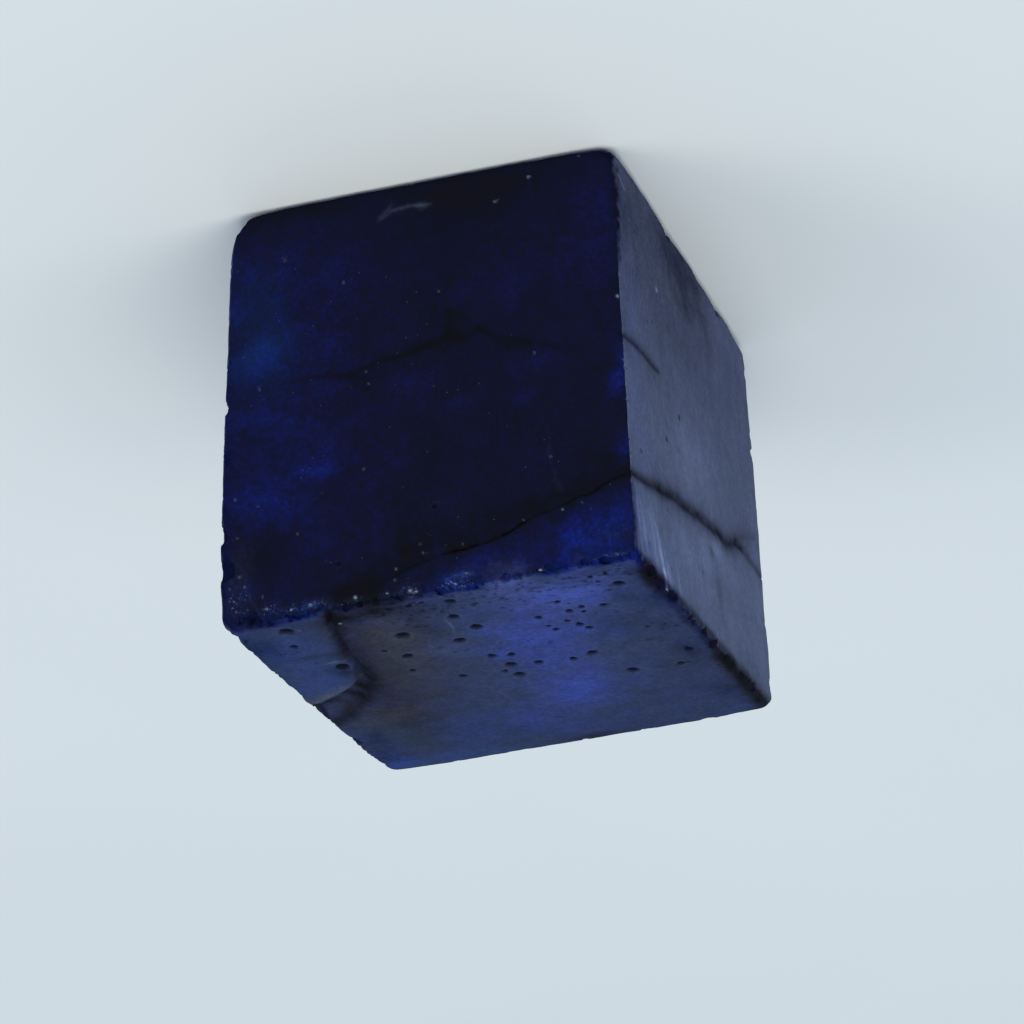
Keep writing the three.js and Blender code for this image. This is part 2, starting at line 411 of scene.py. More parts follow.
@dataclass(frozen=True)
class Chip(EdgeMark):
    """A shell-shaped chip out of an edge.

    Args:
        place: Where it is along the edge, by the coordinate of the edge's own axis.
        length: How long it is along the edge.
        depth: How deep it is at its middle.
        lean: 0 where it faces as the second side does, 1 as the first does.
        seed: Sets its outline apart from others.
        scar: How strong the scar's own tone is.
        ragged: How uneven its outline is.
        scoop: Its radius across the edge, in depths.
        ripple: How high the ripples along it stand, as a share of its radius.
    """

    place: float
    length: float
    depth: float
    lean: float
    seed: float
    scar: float = 1.0
    ragged: float = 0.18
    scoop: float = 2.4
    ripple: float = 0.035

    def work(self, skin: Skin) -> None:
        """Moves the points inside the scoop out to its wall, and paints the scar.

        Args:
            skin: The stone's surface.
        """
        start, end = skin.block.edge_ends(skin.block.edge(*self.between))
        run = end - start
        axis = int(np.argmax(np.abs(run)))
        point = start + run * (self.place - start[axis]) / run[axis]
        run /= np.linalg.norm(run)
        first, second = (skin.block.faces[side].normal for side in self.between)
        out = self.lean * first + (1 - self.lean) * second
        out -= run * (out @ run)
        out /= np.linalg.norm(out)
        radius = self.scoop * self.depth
        centre = point + out * (radius - self.depth)
        near = np.linalg.norm(skin.points - centre, axis=1) < 1.5 * max(self.length / 2, radius)
        offset = skin.points[near] - centre
        axes = np.stack([run / (self.length / 2), out / radius, np.cross(out, run) / radius])
        reach = np.linalg.norm(offset @ axes.T, axis=1)
        rough = 1 + self.ragged * grain(skin.points[near], 1.3 / self.depth**0.5, self.seed, 3)
        rough += self.ripple * np.sin(2.6 / self.depth * (offset @ run))
        inside = reach < rough
        stretch = np.where(inside, rough / np.maximum(reach, 1e-6), 1)
        moved = offset * (stretch - 1)[:, None]
        skin.points[near] += moved
        depth = np.linalg.norm(moved, axis=1)
        skin.add(SCAR, near, self.scar * rise(0.02, 0.4 * self.depth, depth))


@dataclass(frozen=True)
class Pit(Mark):
    """A small round pit in a side.

    Args:
        side: The side that it is in.
        place: Where it is on that side.
        radius: Its radius.
        depth: Its depth, in radii.
        shade: How dark the painted shade inside it is.
        lip: How much haze lies round it.
        shape: How much longer it is along each of the side's map axes.
        ragged: How uneven its outline is, as a share of its radius.
    """

    side: Side
    place: Pair
    radius: float
    depth: float = 0.5
    shade: float = 1.1
    lip: float = 0.05
    shape: Pair = (1.0, 1.0)
    ragged: float = 0.32

    def spacing(self, places: np.ndarray) -> np.ndarray:
        """Its rim and floor need several points across."""
        near = np.hypot(*((places - np.array(self.place)) / self.shape).T) < 1.2 * self.radius + 0.05
        return np.where(near, FINE, np.inf)

    def work(self, skin: Skin) -> None:
        """Sinks the pit, paints shade inside it and lays a little haze round it.

        Args:
            skin: The stone's surface.
        """
        place = np.array(self.place)
        offset = (skin.places(self.side) - place) / self.shape
        near = skin.on_side(self.side) & (np.hypot(*offset.T) < 2 * self.radius)
        rough = 1 + self.ragged * grain(skin.home[near], 0.6 / self.radius, float(place.sum()), 2)
        share = np.hypot(*offset[near].T) / (self.radius * rough)
        skin.sink(near, self.side, self.depth * self.radius * np.sqrt(np.maximum(1 - share**2, 0)))
        # painted shade inside the pit, darkest at its middle
        skin.add(PIT, near, self.shade * (1 - rise(0.5, 1.3, share)))
        skin.add(HAZE, near, self.lip * np.exp(-(((share - 1.35) / 0.25) ** 2)))


@dataclass(frozen=True)
class Line(Mark):
    """A line from station to station on one side.

    Args:
        side: The side that it is on.
        stations: Rows of a place on the side and then the line's own measures there.
        wander: How far the line strays between its stations.
        fine: How close together the mesh's points are along it.
    """

    side: Side
    stations: Places
    wander: float = 0.07
    fine: float = FINE

    def measure(self, places: np.ndarray) -> tuple[np.ndarray, np.ndarray]:
        """Where places on the side lie beside the line.

        Args:
            places: An array of n places.

        Returns:
            The n distances from the line, negative on the right of its run, and the n rows of
            the line's own measures at the nearest point of it.
        """
        table = np.array(self.stations)
        nearest = np.full(len(places), np.inf)
        signed = np.zeros(len(places))
        rows = np.zeros((len(places), table.shape[1] - 2))
        for start, end in zip(table[:-1], table[1:], strict=True):
            run = end[:2] - start[:2]
            share = np.clip((places - start[:2]) @ run / (run @ run), 0, 1)
            offset = places - start[:2] - share[:, None] * run
            distance = np.hypot(*offset.T)
            closer = distance < nearest
            nearest[closer] = distance[closer]
            turn = run[0] * offset[:, 1] - run[1] * offset[:, 0]
            signed[closer] = np.where(turn < 0, -distance, distance)[closer]
            rows[closer] = (start[2:] + share[:, None] * (end - start)[2:])[closer]
        return signed, rows

    def spacing(self, places: np.ndarray) -> np.ndarray | float:
        """How close together the mesh's points must be, because its edges need a few across.

        Args:
            places: An array of n places on its side.

        Returns:
            The n distances, infinite away from the line.
        """
        if math.isinf(self.fine):
            return np.inf
        signed, rows = self.measure(places)
        close = np.abs(signed) < self.wander + rows[:, 0] + 0.04
        return np.where(close, self.fine, np.inf)


@dataclass(frozen=True)
class Groove(Line):
    """An open groove. A station is its place, its width to the right and to the left, its depth."""

    def work(self, skin: Skin) -> None:
        """Cuts the groove.

        Args:
            skin: The stone's surface.
        """
        here = skin.on_side(self.side)
        signed, rows = self.measure(skin.places(self.side, self.wander)[here])
        width = np.where(signed < 0, rows[:, 0], rows[:, 1])
        skin.sink(here, self.side, rows[:, 2] * rise(0, 1, 1 - np.abs(signed) / width))


@dataclass(frozen=True)
class Stroke(Line):
    """A painted line. A station is its place, its width and its strength.

    Args:
        paint: Which paint.
        patchy: How uneven its strength is, as a share.
    """

    paint: Paint = STAIN
    patchy: float = 0.5

    def work(self, skin: Skin) -> None:
        """Paints the line, soft at its sides.

        Args:
            skin: The stone's surface.
        """
        here = skin.on_side(self.side)
        signed, rows = self.measure(skin.places(self.side, self.wander)[here])
        uneven = np.maximum(1 + self.patchy * grain(skin.home[here], 1.7, self.stations[0][0], 4), 0.1)
        amount = rows[:, 1] * uneven * np.exp(-((signed / (rows[:, 0] * uneven)) ** 2))
        skin.add(self.paint, here, amount)


@dataclass(frozen=True)
class Fracture:
    """A fracture that comes out on one side: a groove, its dark core and the stain beside it.

    Args:
        side: The side that it is on.
        core: How dark its core is where the groove is deep.
        stain: How strong the stain is.
        stations: Rows of a place on the side, half the stain's width there and the groove's depth.
        patchy: How uneven it is, as a share.
        wander: How far it strays between its stations.
        deep: From what depth on the groove is deep. Where it is shallower, the core is fainter.
        groove: Half the groove's width, as a share of half the stain's.
        core_width: Half the core's width, as a share of half the stain's.
        halo: How much wider and how much fainter than the stain the halo round it is.
    """

    side: Side
    core: float
    stain: float
    stations: Places
    patchy: float = 0.5
    wander: float = 0.07
    deep: float = 0.05
    groove: float = 0.6
    core_width: float = 0.4
    halo: Pair = (2.5, 0.2)

    def marks(self) -> Iterator[Mark]:
        """The marks that it is made of."""
        groove, core, stain, halo = [], [], [], []
        for u, v, half, depth in self.stations:
            groove.append((u, v, self.groove * half, self.groove * half, depth))
            core.append((u, v, self.core_width * half, self.core * min(1.0, depth / self.deep)))
            stain.append((u, v, half, self.stain))
            halo.append((u, v, self.halo[0] * half, self.halo[1] * self.stain))
        yield Groove(self.side, groove, self.wander)
        yield Stroke(self.side, core, self.wander, paint=CRACK, patchy=self.patchy)
        yield Stroke(self.side, stain, self.wander, patchy=self.patchy)
        yield Stroke(self.side, halo, self.wander, math.inf, patchy=self.patchy)


@dataclass(frozen=True)
class Speck(Mark):
    """A bright speck. Most are dust; those on the chipped rim between the front and the top are painted
    glints.

    Args:
        side: The side that it lies on.
        place: Where it is on that side.
        radius: Its radius.
        strength: How bright it is.
    """

    side: Side
    place: Pair
    radius: float
    strength: float

    def spacing(self, places: np.ndarray) -> np.ndarray:
        """It needs a few points across."""
        near = np.hypot(*(places - np.array(self.place)).T) < self.radius + 0.08
        return np.where(near, FINE, np.inf)

    def work(self, skin: Skin) -> None:
        """Paints the speck.

        Args:
            skin: The stone's surface.
        """
        share = np.hypot(*(skin.places(self.side) - np.array(self.place)).T) / self.radius
        near = skin.on_side(self.side) & (share < 1.5)
        skin.add(DUST, near, self.strength * (1 - rise(0.5, 1.5, share[near])))


@dataclass(frozen=True)
class Zone(Mark):
    """A soft patch of paint on one side.

    Args:
        side: The side that it is on.
        paint: Which paint.
        place: Its middle.
        size: How far it reaches along the side's two map axes.
        strength: How much paint there is at its middle. Less than 0 takes paint away.
        ragged: How uneven its outline is, as a share of its size.
    """

    side: Side
    paint: Paint
    place: Pair
    size: Pair
    strength: float
    ragged: float = 0.5

    def work(self, skin: Skin) -> None:
        """Adds the patch to the paint.

        Args:
            skin: The stone's surface.
        """
        here = skin.on_side(self.side)
        size = np.array(self.size)
        share = (skin.places(self.side, self.ragged * size)[here] - np.array(self.place)) / size
        skin.add(self.paint, here, self.strength * np.exp(-np.sum(share**2, axis=1)))


@dataclass(frozen=True)
class Rim(EdgeMark):
    """Paint along an edge, on both of its sides.

    Args:
        paint: Which paint.
        stations: Rows of a place along the edge, how far the paint reaches there and its strength.
        ragged: How far its outline strays.
        patchy: How uneven its strength is, as a share.
    """

    paint: Paint
    stations: Places
    ragged: float = 0.08
    patchy: float = 0.4

    def work(self, skin: Skin) -> None:
        """Adds the paint, less of it away from the edge.

        Args:
            skin: The stone's surface.
        """
        edge = skin.block.edge(*self.between)
        start, end = skin.block.edge_ends(edge)
        axis = int(np.argmax(np.abs(end - start)))
        distance, share = skin.block.beside(edge, skin.home + self.ragged * skin.warp)
        place = start[axis] + share * (end - start)[axis]
        places, reaches, strengths = np.array(self.stations).T
        reach = np.interp(place, places, reaches)
        strength = np.interp(place, places, strengths) * np.exp(-((distance / reach) ** 4))
        near = np.abs(strength) > 0.001
        uneven = 1 + self.patchy * grain(skin.home[near], 1.8, float(strengths.sum()), 3)
        skin.add(self.paint, near, strength[near] * np.maximum(uneven, 0.1))


@dataclass(frozen=True)
class Coat(Mark):
    """An even coat of paint over a whole side.

    Args:
        side: The side.
        paint: Which paint.
        strength: How much of it there is.
    """

    side: Side
    paint: Paint
    strength: float

    def work(self, skin: Skin) -> None:
        """Adds the coat."""
        here = skin.on_side(self.side)
        skin.add(self.paint, here, np.full(int(here.sum()), self.strength))


# ---- Many marks at once ----


@dataclass(frozen=True)
class ChippedEdge:
    """The chips along one edge, and the nibbles scattered between them.

    Args:
        between: The two sides that meet at the edge.
        chips: Rows of a place along the edge, a length and a depth.
        density: How many nibbles there are to a millimetre.
        longest: The largest nibble's length. Few of them are that long.
        scar: How strong the scars' own tone is.
        ragged: How uneven the outlines are.
        lean: How much the chips lean by turns to one side and to the other.
        turn: How far round those turns each chip is from the one before, in radians.
        shortest: The smallest nibble's length, as a share of the largest one's.
        depths: The nibbles' least and greatest depths, as shares of their lengths.
        worn: How much of the edge's own radius the nibbles' depths have on top of that.
        leans: The nibbles' least and greatest leans.
    """

    between: tuple[Side, Side]
    chips: Places
    density: float = 0.0
    longest: float = 0.0
    scar: float = 1.0
    ragged: float = 0.18
    lean: float = 0.32
    turn: float = 2.4
    shortest: float = 0.25
    depths: Pair = (0.12, 0.28)
    worn: float = 0.3
    leans: Pair = (0.15, 0.85)

    def large(self) -> Iterator[Chip]:
        """The chips."""
        for i, (place, length, depth) in enumerate(self.chips):
            lean = 0.5 + self.lean * math.sin(self.turn * i)
            yield Chip(self.between, place, length, depth, lean, i + 0.3, self.scar, self.ragged)

    def small(self, block: Block, rng: np.random.Generator) -> Iterator[Chip]:
        """The nibbles.

        Args:
            block: The block that they are in.
            rng: Where their places and sizes come from.

        Yields:
            The nibbles.
        """
        edge = block.edge(*self.between)
        axis = ({0, 1, 2} - {side.axis for side in self.between}).pop()
        low, high = sorted(block.faces[end].across * end.value[axis] for end in edge.ends)
        radius = sum(edge.radii) / 2
        for place in rng.uniform(low, high, int(self.density * (high - low))):
            length = self.longest * (self.shortest + (1 - self.shortest) * rng.random() ** 2)
            depth = self.worn * radius + length * rng.uniform(*self.depths)
            lean, seed = rng.uniform(*self.leans), rng.uniform(0, 50)
            yield Chip(self.between, float(place), length, depth, lean, seed, self.scar, self.ragged)


@dataclass(frozen=True)
class Scatter:
    """Marks scattered over part of a side.

    Args:
        side: The side.
        low: The lowest place of the part.
        high: The highest place of the part.
        count: How many marks there are.
    """

    side: Side
    low: Pair
    high: Pair
    count: int

    def places(self, rng: np.random.Generator) -> list[list[float]]:
        """Where the marks are."""
        return rng.uniform(self.low, self.high, (self.count, 2)).tolist()


@dataclass(frozen=True)
class Pores(Scatter):
    """Pores, which are shallower than pits and have paler painted shade inside.

    Args:
        radii: The smallest and the largest radius.
    """

    radii: Pair

    def marks(self, rng: np.random.Generator) -> Iterator[Pit]:
        """The pores."""
        for u, v in self.places(rng):
            radius = float(rng.uniform(*self.radii))
            yield Pit(self.side, (u, v), radius, depth=0.45, shade=0.55, lip=0.0)


@dataclass(frozen=True)
class Scuffs(Scatter):
    """Short dark scuffs that run nearly along a side's first map axis.

    Args:
        strongest: The strongest one's strength.
        weakest: The weakest one's strength, as a share of the strongest one's.
        halves: Half the shortest one's length and half the longest one's.
        widths: The narrowest and the widest one's width.
        turn: How much their directions vary, in radians.
    """

    strongest: float
    weakest: float = 0.4
    halves: Pair = (0.1, 0.45)
    widths: Pair = (0.04, 0.09)
    turn: float = 0.25

    def marks(self, rng: np.random.Generator) -> Iterator[Stroke]:
        """The scuffs, which fade at both ends and taper to one of them."""
        for u, v in self.places(rng):
            half, turn = rng.uniform(*self.halves), rng.normal(0, self.turn)
            du, dv = half * math.cos(turn), half * math.sin(turn)
            width, strength = rng.uniform(*self.widths), self.strongest * rng.uniform(self.weakest, 1.0)
            start = (u - du, v - dv, width, 0.3 * strength)
            end = (u + du, v + dv, 0.6 * width, 0.2 * strength)
            yield Stroke(self.side, (start, (u, v, width, strength), end), fine=MIDDLING)


# ---- This stone: its faces, its wear and its marks, in millimetres ----

FACES = {
    BASE: SawnFace((0, 0, -1), 0),
    FRONT: SawnFace((-0.007, -1, -0.006), 8.83),
    BACK: SawnFace((-0.004, 1, -0.002), 9.05),
    LEFT: SawnFace((-1, -0.028, -0.008), 7.66),
    RIGHT: SawnFace((1, -0.015, -0.022), 7.62),
    TOP: SawnFace((-0.034, 0.015, 1), 16.28),
}

EDGES = (
    WornEdge((FRONT, LEFT), (BASE, TOP), (0.3, 0.12), 0.5, FINE),
    WornEdge((FRONT, RIGHT), (BASE, TOP), (0.3, 0.45), 0.9, MIDDLING),
    WornEdge((BACK, LEFT), (BASE, TOP), (0.5, 0.35), 0.8, MIDDLING),
    WornEdge((BACK, RIGHT), (BASE, TOP), (0.7, 0.5), 0.9, COARSE),
    WornEdge((FRONT, BASE), (LEFT, RIGHT), (0.28, 0.35), 0.7, MIDDLING),
    WornEdge((BACK, BASE), (LEFT, RIGHT), (0.5, 0.5), 0.8, COARSE),
    WornEdge((LEFT, BASE), (FRONT, BACK), (0.4, 0.45), 0.8, COARSE),
    WornEdge((RIGHT, BASE), (FRONT, BACK), (1.0, 0.7), 1.1, COARSE),
    WornEdge((FRONT, TOP), (LEFT, RIGHT), (0.2, 0.45), 0.75, FINE),
    WornEdge((BACK, TOP), (LEFT, RIGHT), (0.3, 0.35), 0.6, MIDDLING),
    WornEdge((LEFT, TOP), (FRONT, BACK), (0.22, 0.3), 0.75, FINE),
    WornEdge((RIGHT, TOP), (FRONT, BACK), (0.85, 0.25), 1.0, MIDDLING),
)

SEEN = (FRONT, LEFT, TOP)  # the sides that face the camera

CORNERS = (
    WornCorner((FRONT, LEFT, BASE), 0.7),
    WornCorner((FRONT, RIGHT, BASE), 0.96),
    WornCorner((BACK, LEFT, BASE), 0.75),
    WornCorner((BACK, RIGHT, BASE), 0.82),
    WornCorner((FRONT, LEFT, TOP), 0.3),
    WornCorner((FRONT, RIGHT, TOP), 1.1),
    WornCorner((BACK, LEFT, TOP), 0.62),
    WornCorner((BACK, RIGHT, TOP), 0.68),
)

# The chips along each edge, and how many nibbles there are between them.
CHIPPED_EDGES = (
    ChippedEdge((FRONT, TOP), (
        (-6.6, 1.8, 0.2), (-4.7, 1.6, 0.2), (-1.1, 2.2, 0.26), (0.8, 1.4, 0.22), (2.4, 1.5, 0.24),
        (3.2, 1, 0.2), (4.5, 1.9, 0.25), (5.6, 1.4, 0.26), (6.6, 1.6, 0.34),
    ), 11.0, 0.45, scar=0.5, ragged=0.45),
    ChippedEdge((LEFT, TOP), (
        (-8.3, 0.9, 0.18), (-7, 1.6, 0.22), (-5.7, 1.3, 0.24), (-4.5, 1.5, 0.26), (-3.2, 1.8, 0.2),
        (-1.7, 1.2, 0.24), (-0.5, 1.7, 0.18), (0.8, 1.5, 0.22), (2.3, 1.8, 0.18), (3.9, 1.6, 0.16),
        (5.9, 2.1, 0.18), (7.4, 1.5, 0.16),
    ), 2.5, 0.45, scar=0.5, ragged=0.3),
    ChippedEdge((RIGHT, TOP), (
        (-7.6, 1.8, 0.75), (-6.1, 1, 0.44), (-4.9, 1.2, 0.3), (-3.6, 1.5, 0.34), (-2.2, 1.4, 0.24),
        (-1, 1.1, 0.28), (3.1, 1.2, 0.2), (4.5, 1.7, 0.28), (7.9, 1.1, 0.32),
    ), 2.0, 0.8),
    ChippedEdge((BACK, TOP), (
        (-5.5, 2.2, 0.3), (-2.9, 1.5, 0.24), (-0.4, 0.9, 0.18), (2.6, 1.9, 0.26), (5, 1.2, 0.22),
    ), 1.5, 0.7),
    ChippedEdge((FRONT, LEFT), (
        (1.9, 0.9, 0.14), (3.6, 0.8, 0.1), (5.4, 0.7, 0.08), (7.7, 1, 0.12), (8.8, 0.8, 0.1),
        (11.2, 0.9, 0.1), (12.9, 1.1, 0.1), (14.6, 1.1, 0.07),
    ), 3.5, 0.45, scar=0.3),
    ChippedEdge((FRONT, RIGHT), (
        (4.4, 1.4, 0.2), (6.2, 1, 0.2), (7.9, 0.9, 0.3), (9.9, 1.3, 0.26), (11.5, 1, 0.26),
        (12.9, 1.2, 0.36), (14.2, 1.5, 0.48),
    ), 2.5, 0.7),
    ChippedEdge((BACK, LEFT), (
        (1.3, 1.4, 0.4), (3.6, 1.3, 0.3), (5, 0.9, 0.42), (9, 1.6, 0.3), (14.7, 1.8, 0.42),
    ), 1.5, 0.8),
    ChippedEdge((BACK, RIGHT), ((3.1, 1.8, 0.44), (6.9, 1.3, 0.36), (12.4, 2.1, 0.5)), 1.0, 0.9),
    ChippedEdge((FRONT, BASE), (), 1.0, 0.5),
    ChippedEdge((LEFT, BASE), ((4.4, 2.1, 0.5), (-2.2, 1.5, 0.4)), 0.6, 0.8),
    ChippedEdge((RIGHT, BASE), ((-3.9, 2, 0.52), (3.6, 1.7, 0.48))),
    ChippedEdge((BACK, BASE), ((-1.6, 2, 0.34), (4.2, 1.4, 0.3))),
)

# Pits in each side: place, radius. Each pit's inside gets painted shade.
PITS: dict[Side, Places] = {
    TOP: (
        (-4.3, 1.9, 0.24), (-0.35, 0.35, 0.26), (-3.45, -0.6, 0.22), (-2.65, -0.3, 0.19),
        (-1.4, -0.6, 0.2), (-0.45, -0.85, 0.23), (1.55, -0.5, 0.18), (-0.75, -1.85, 0.18),
        (-0.1, -2.05, 0.21), (-4.1, -3.1, 0.16), (-3.9, -3.55, 0.18), (-3, -3.5, 0.15),
        (0.45, -4.1, 0.24), (2.65, -3.5, 0.24), (-5.2, -5, 0.15), (-3.95, -5, 0.17), (-2.8, -4.9, 0.16),
        (-0.55, -5.05, 0.24), (2.1, -5.55, 0.31), (-0.15, -6.4, 0.21), (-6.25, -6.7, 0.24),
        (-0.55, -7.8, 0.22), (5.9, -6.35, 0.16), (5.55, -7.85, 0.28), (5.15, -3.6, 0.26),
        (-6.1, 2.1, 0.18), (-6.75, 0.8, 0.2), (0, -0.3, 0.13), (3, -2, 0.14), (-3.6, -4.1, 0.13),
        (-2.85, -3.95, 0.11), (3.2, -4.4, 0.14), (-4.4, -4.7, 0.11), (-4.45, -5.15, 0.13),
        (-3.85, -6, 0.14), (-6.1, -7.75, 0.11), (-5.55, -7.75, 0.11), (0.9, -8.1, 0.13),
        (1.6, -8.1, 0.13), (0.4, -8.2, 0.11), (-5.65, -7.2, 0.1),
    ),
    LEFT: ((-7.5, 11.7, 0.1), (-4.1, 9.8, 0.14), (-2.2, 8.1, 0.14)),
    FRONT: ((-0.4, 13.15, 0.11), (3.15, 14.75, 0.1)),
    RIGHT: ((-3.2, 11.9, 0.28), (1.4, 5.2, 0.24), (5.8, 9.6, 0.2), (-6, 3.7, 0.17)),
    BACK: ((-3.7, 12.8, 0.22), (2.9, 4.4, 0.3), (5.1, 8.1, 0.18)),
}
PIT_SHARE = 0.9  # how much of its listed radius a pit has
LONG_PITS = {TOP: (1.0, 1.2)}  # how much more it has along each map axis of a side, where it isn't round

PORES = (
    Pores(TOP, (-6.9, -8.6), (4.2, -7), 80, (0.04, 0.11)),
    Pores(TOP, (-6.6, -7.6), (3.6, -5.8), 34, (0.04, 0.09)),
    Pores(TOP, (-7.4, -7), (-5.8, 3), 12, (0.05, 0.12)),
    Pores(TOP, (-6.8, -6.4), (2, -2), 24, (0.04, 0.07)),
    Pores(TOP, (4.8, -8.2), (7, -2), 8, (0.04, 0.08)),
    Pores(LEFT, (-8, 2), (0, 15), 16, (0.04, 0.08)),
)

FRACTURES = (
    Fracture(FRONT, 0.95, 0.5, (
        (-7.9, 12.95, 0.1, 0.05), (-7.2, 13.05, 0.09, 0.02), (-6.6, 13.2, 0.08, 0.04),
        (-6, 13.6, 0.11, 0.06), (-5.6, 13.7, 0.08, 0.02), (-5.2, 13.8, 0.09, 0.04),
        (-4.8, 13.9, 0.08, 0.01), (-4.4, 14, 0.09, 0.03), (-4, 14.15, 0.08, 0.02),
        (-3.5, 14.35, 0.11, 0.05), (-3, 14.6, 0.11, 0.06), (-2.6, 14.7, 0.08, 0.02),
        (-2.3, 14.8, 0.09, 0.04), (-1.6, 14.85, 0.11, 0.06), (-0.9, 14.95, 0.1, 0.05),
        (-0.5, 15.05, 0.07, 0.01), (0.5, 15.35, 0.08, 0.02), (0.9, 15.5, 0.06, 0.01),
        (2.6, 16.1, 0.05, 0.01),
    ), 0.9, 0.11),
    Fracture(LEFT, 0.0, 0.73, (
        (-9.2, 13.15, 0.16, 0.04), (-8.4, 12.97, 0.2, 0.05), (-7.8, 12.86, 0.2, 0.05),
        (-7.2, 12.74, 0.23, 0.05), (-6.6, 12.6, 0.24, 0.06), (-6, 12.43, 0.32, 0.07),
        (-5.4, 12.3, 0.38, 0.07), (-4.8, 12.2, 0.29, 0.06), (-4.2, 12.02, 0.34, 0.07),
        (-3.6, 11.88, 0.32, 0.07), (-3, 11.81, 0.36, 0.07), (-2.4, 11.75, 0.32, 0.07),
        (-1.8, 11.64, 0.29, 0.06), (-1.2, 11.55, 0.37, 0.07), (-0.6, 11.38, 0.29, 0.06),
        (0, 11.32, 0.34, 0.06), (0.6, 11.26, 0.33, 0.06), (1.2, 11.15, 0.31, 0.06),
        (1.9, 11.05, 0.31, 0.05),
    ), 0.08, 0.015),
    Fracture(LEFT, 0.0, 0.7, (
        (2.3, 11, 0.2, 0.04), (2.7, 11, 0.34, 0.04), (3.2, 11, 0.34, 0.05), (3.7, 10.86, 0.33, 0.06),
        (4.3, 10.6, 0.36, 0.06), (4.9, 10.4, 0.3, 0.05), (5.6, 10.32, 0.2, 0.04),
    ), 0.1, 0.02),
    Fracture(LEFT, 0.0, 0.45, (
        (5.9, 10.3, 0.2, 0.04), (6.6, 10.3, 0.26, 0.04), (7.6, 10.35, 0.22, 0.03),
        (9.3, 10.5, 0.16, 0.03),
    ), 0.15, 0.02),
    Fracture(LEFT, 0.0, 0.28, (
        (4.8, 10.2, 0.2, 0.04), (5.3, 9.9, 0.3, 0.04), (6, 9.6, 0.3, 0.04), (7, 9.25, 0.26, 0.03),
        (8, 8.9, 0.16, 0.02),
    ), 0.15, 0.02),
    Fracture(LEFT, 0.15, 0.6, (
        (-9.2, 7.85, 0.15, 0.03), (-8.4, 7.76, 0.16, 0.03), (-7.8, 7.64, 0.17, 0.04),
        (-7.2, 7.56, 0.19, 0.04), (-6.6, 7.48, 0.19, 0.04), (-6, 7.45, 0.2, 0.03),
        (-5.4, 7.42, 0.18, 0.02), (-4.7, 7.35, 0.14, 0.01),
    ), 0.1, 0.015),
    Fracture(RIGHT, 0.5, 0.8, (
        (1.5, 16.8, 0.22, 0.2), (3.4, 15.75, 0.18, 0.16), (5.3, 15.4, 0.14, 0.12),
        (7.2, 14.9, 0.16, 0.12), (9.3, 14.5, 0.16, 0.12),
    )),
    Fracture(BACK, 0.5, 0.8, (
        (8, 14.6, 0.15, 0.12), (5.2, 13.7, 0.12, 0.1), (2.4, 13.2, 0.14, 0.12), (-0.8, 12.1, 0.12, 0.08),
        (-4, 11.6, 0.15, 0.12), (-8, 10.5, 0.14, 0.1),
    )),
)

# The valley in the top, where the fracture opens. Its floor lies close under the front rim and
# rises gently to the back: place, width to the back, width to the front, depth.
VALLEY: Places = (
    (8.1, 0.45, 1.9, 0.6, 0.42), (7.1, 0.05, 1.75, 0.5, 0.42), (6.2, -0.55, 1.35, 0.4, 0.4),
    (5.5, -1.15, 0.85, 0.34, 0.38), (4.95, -2, 0.34, 0.26, 0.34), (4.62, -3.4, 0.2, 0.18, 0.24),
    (4.5, -4.7, 0.22, 0.22, 0.26), (4.3, -6, 0.16, 0.16, 0.2), (4, -7.3, 0.17, 0.17, 0.2),
    (3.5, -9.3, 0.2, 0.2, 0.24),
)

# How much of a paint lies all over a side. The haze coats carry a painted sheen: the left and the
# top, seen at a slant, get much more of it than the front.
COATS: dict[tuple[Side, Paint], float] = {
    (FRONT, BLUE): 0.15, (LEFT, HAZE): 0.9, (LEFT, BLUE): 0.08, (TOP, HAZE): 0.19, (TOP, BLUE): 0.32,
    (TOP, STEEL): 0.3, (RIGHT, HAZE): 0.45, (RIGHT, BLUE): 0.2, (BACK, HAZE): 0.3, (BACK, BLUE): 0.28,
    (BASE, HAZE): 0.2, (BASE, BLUE): 0.2,
}

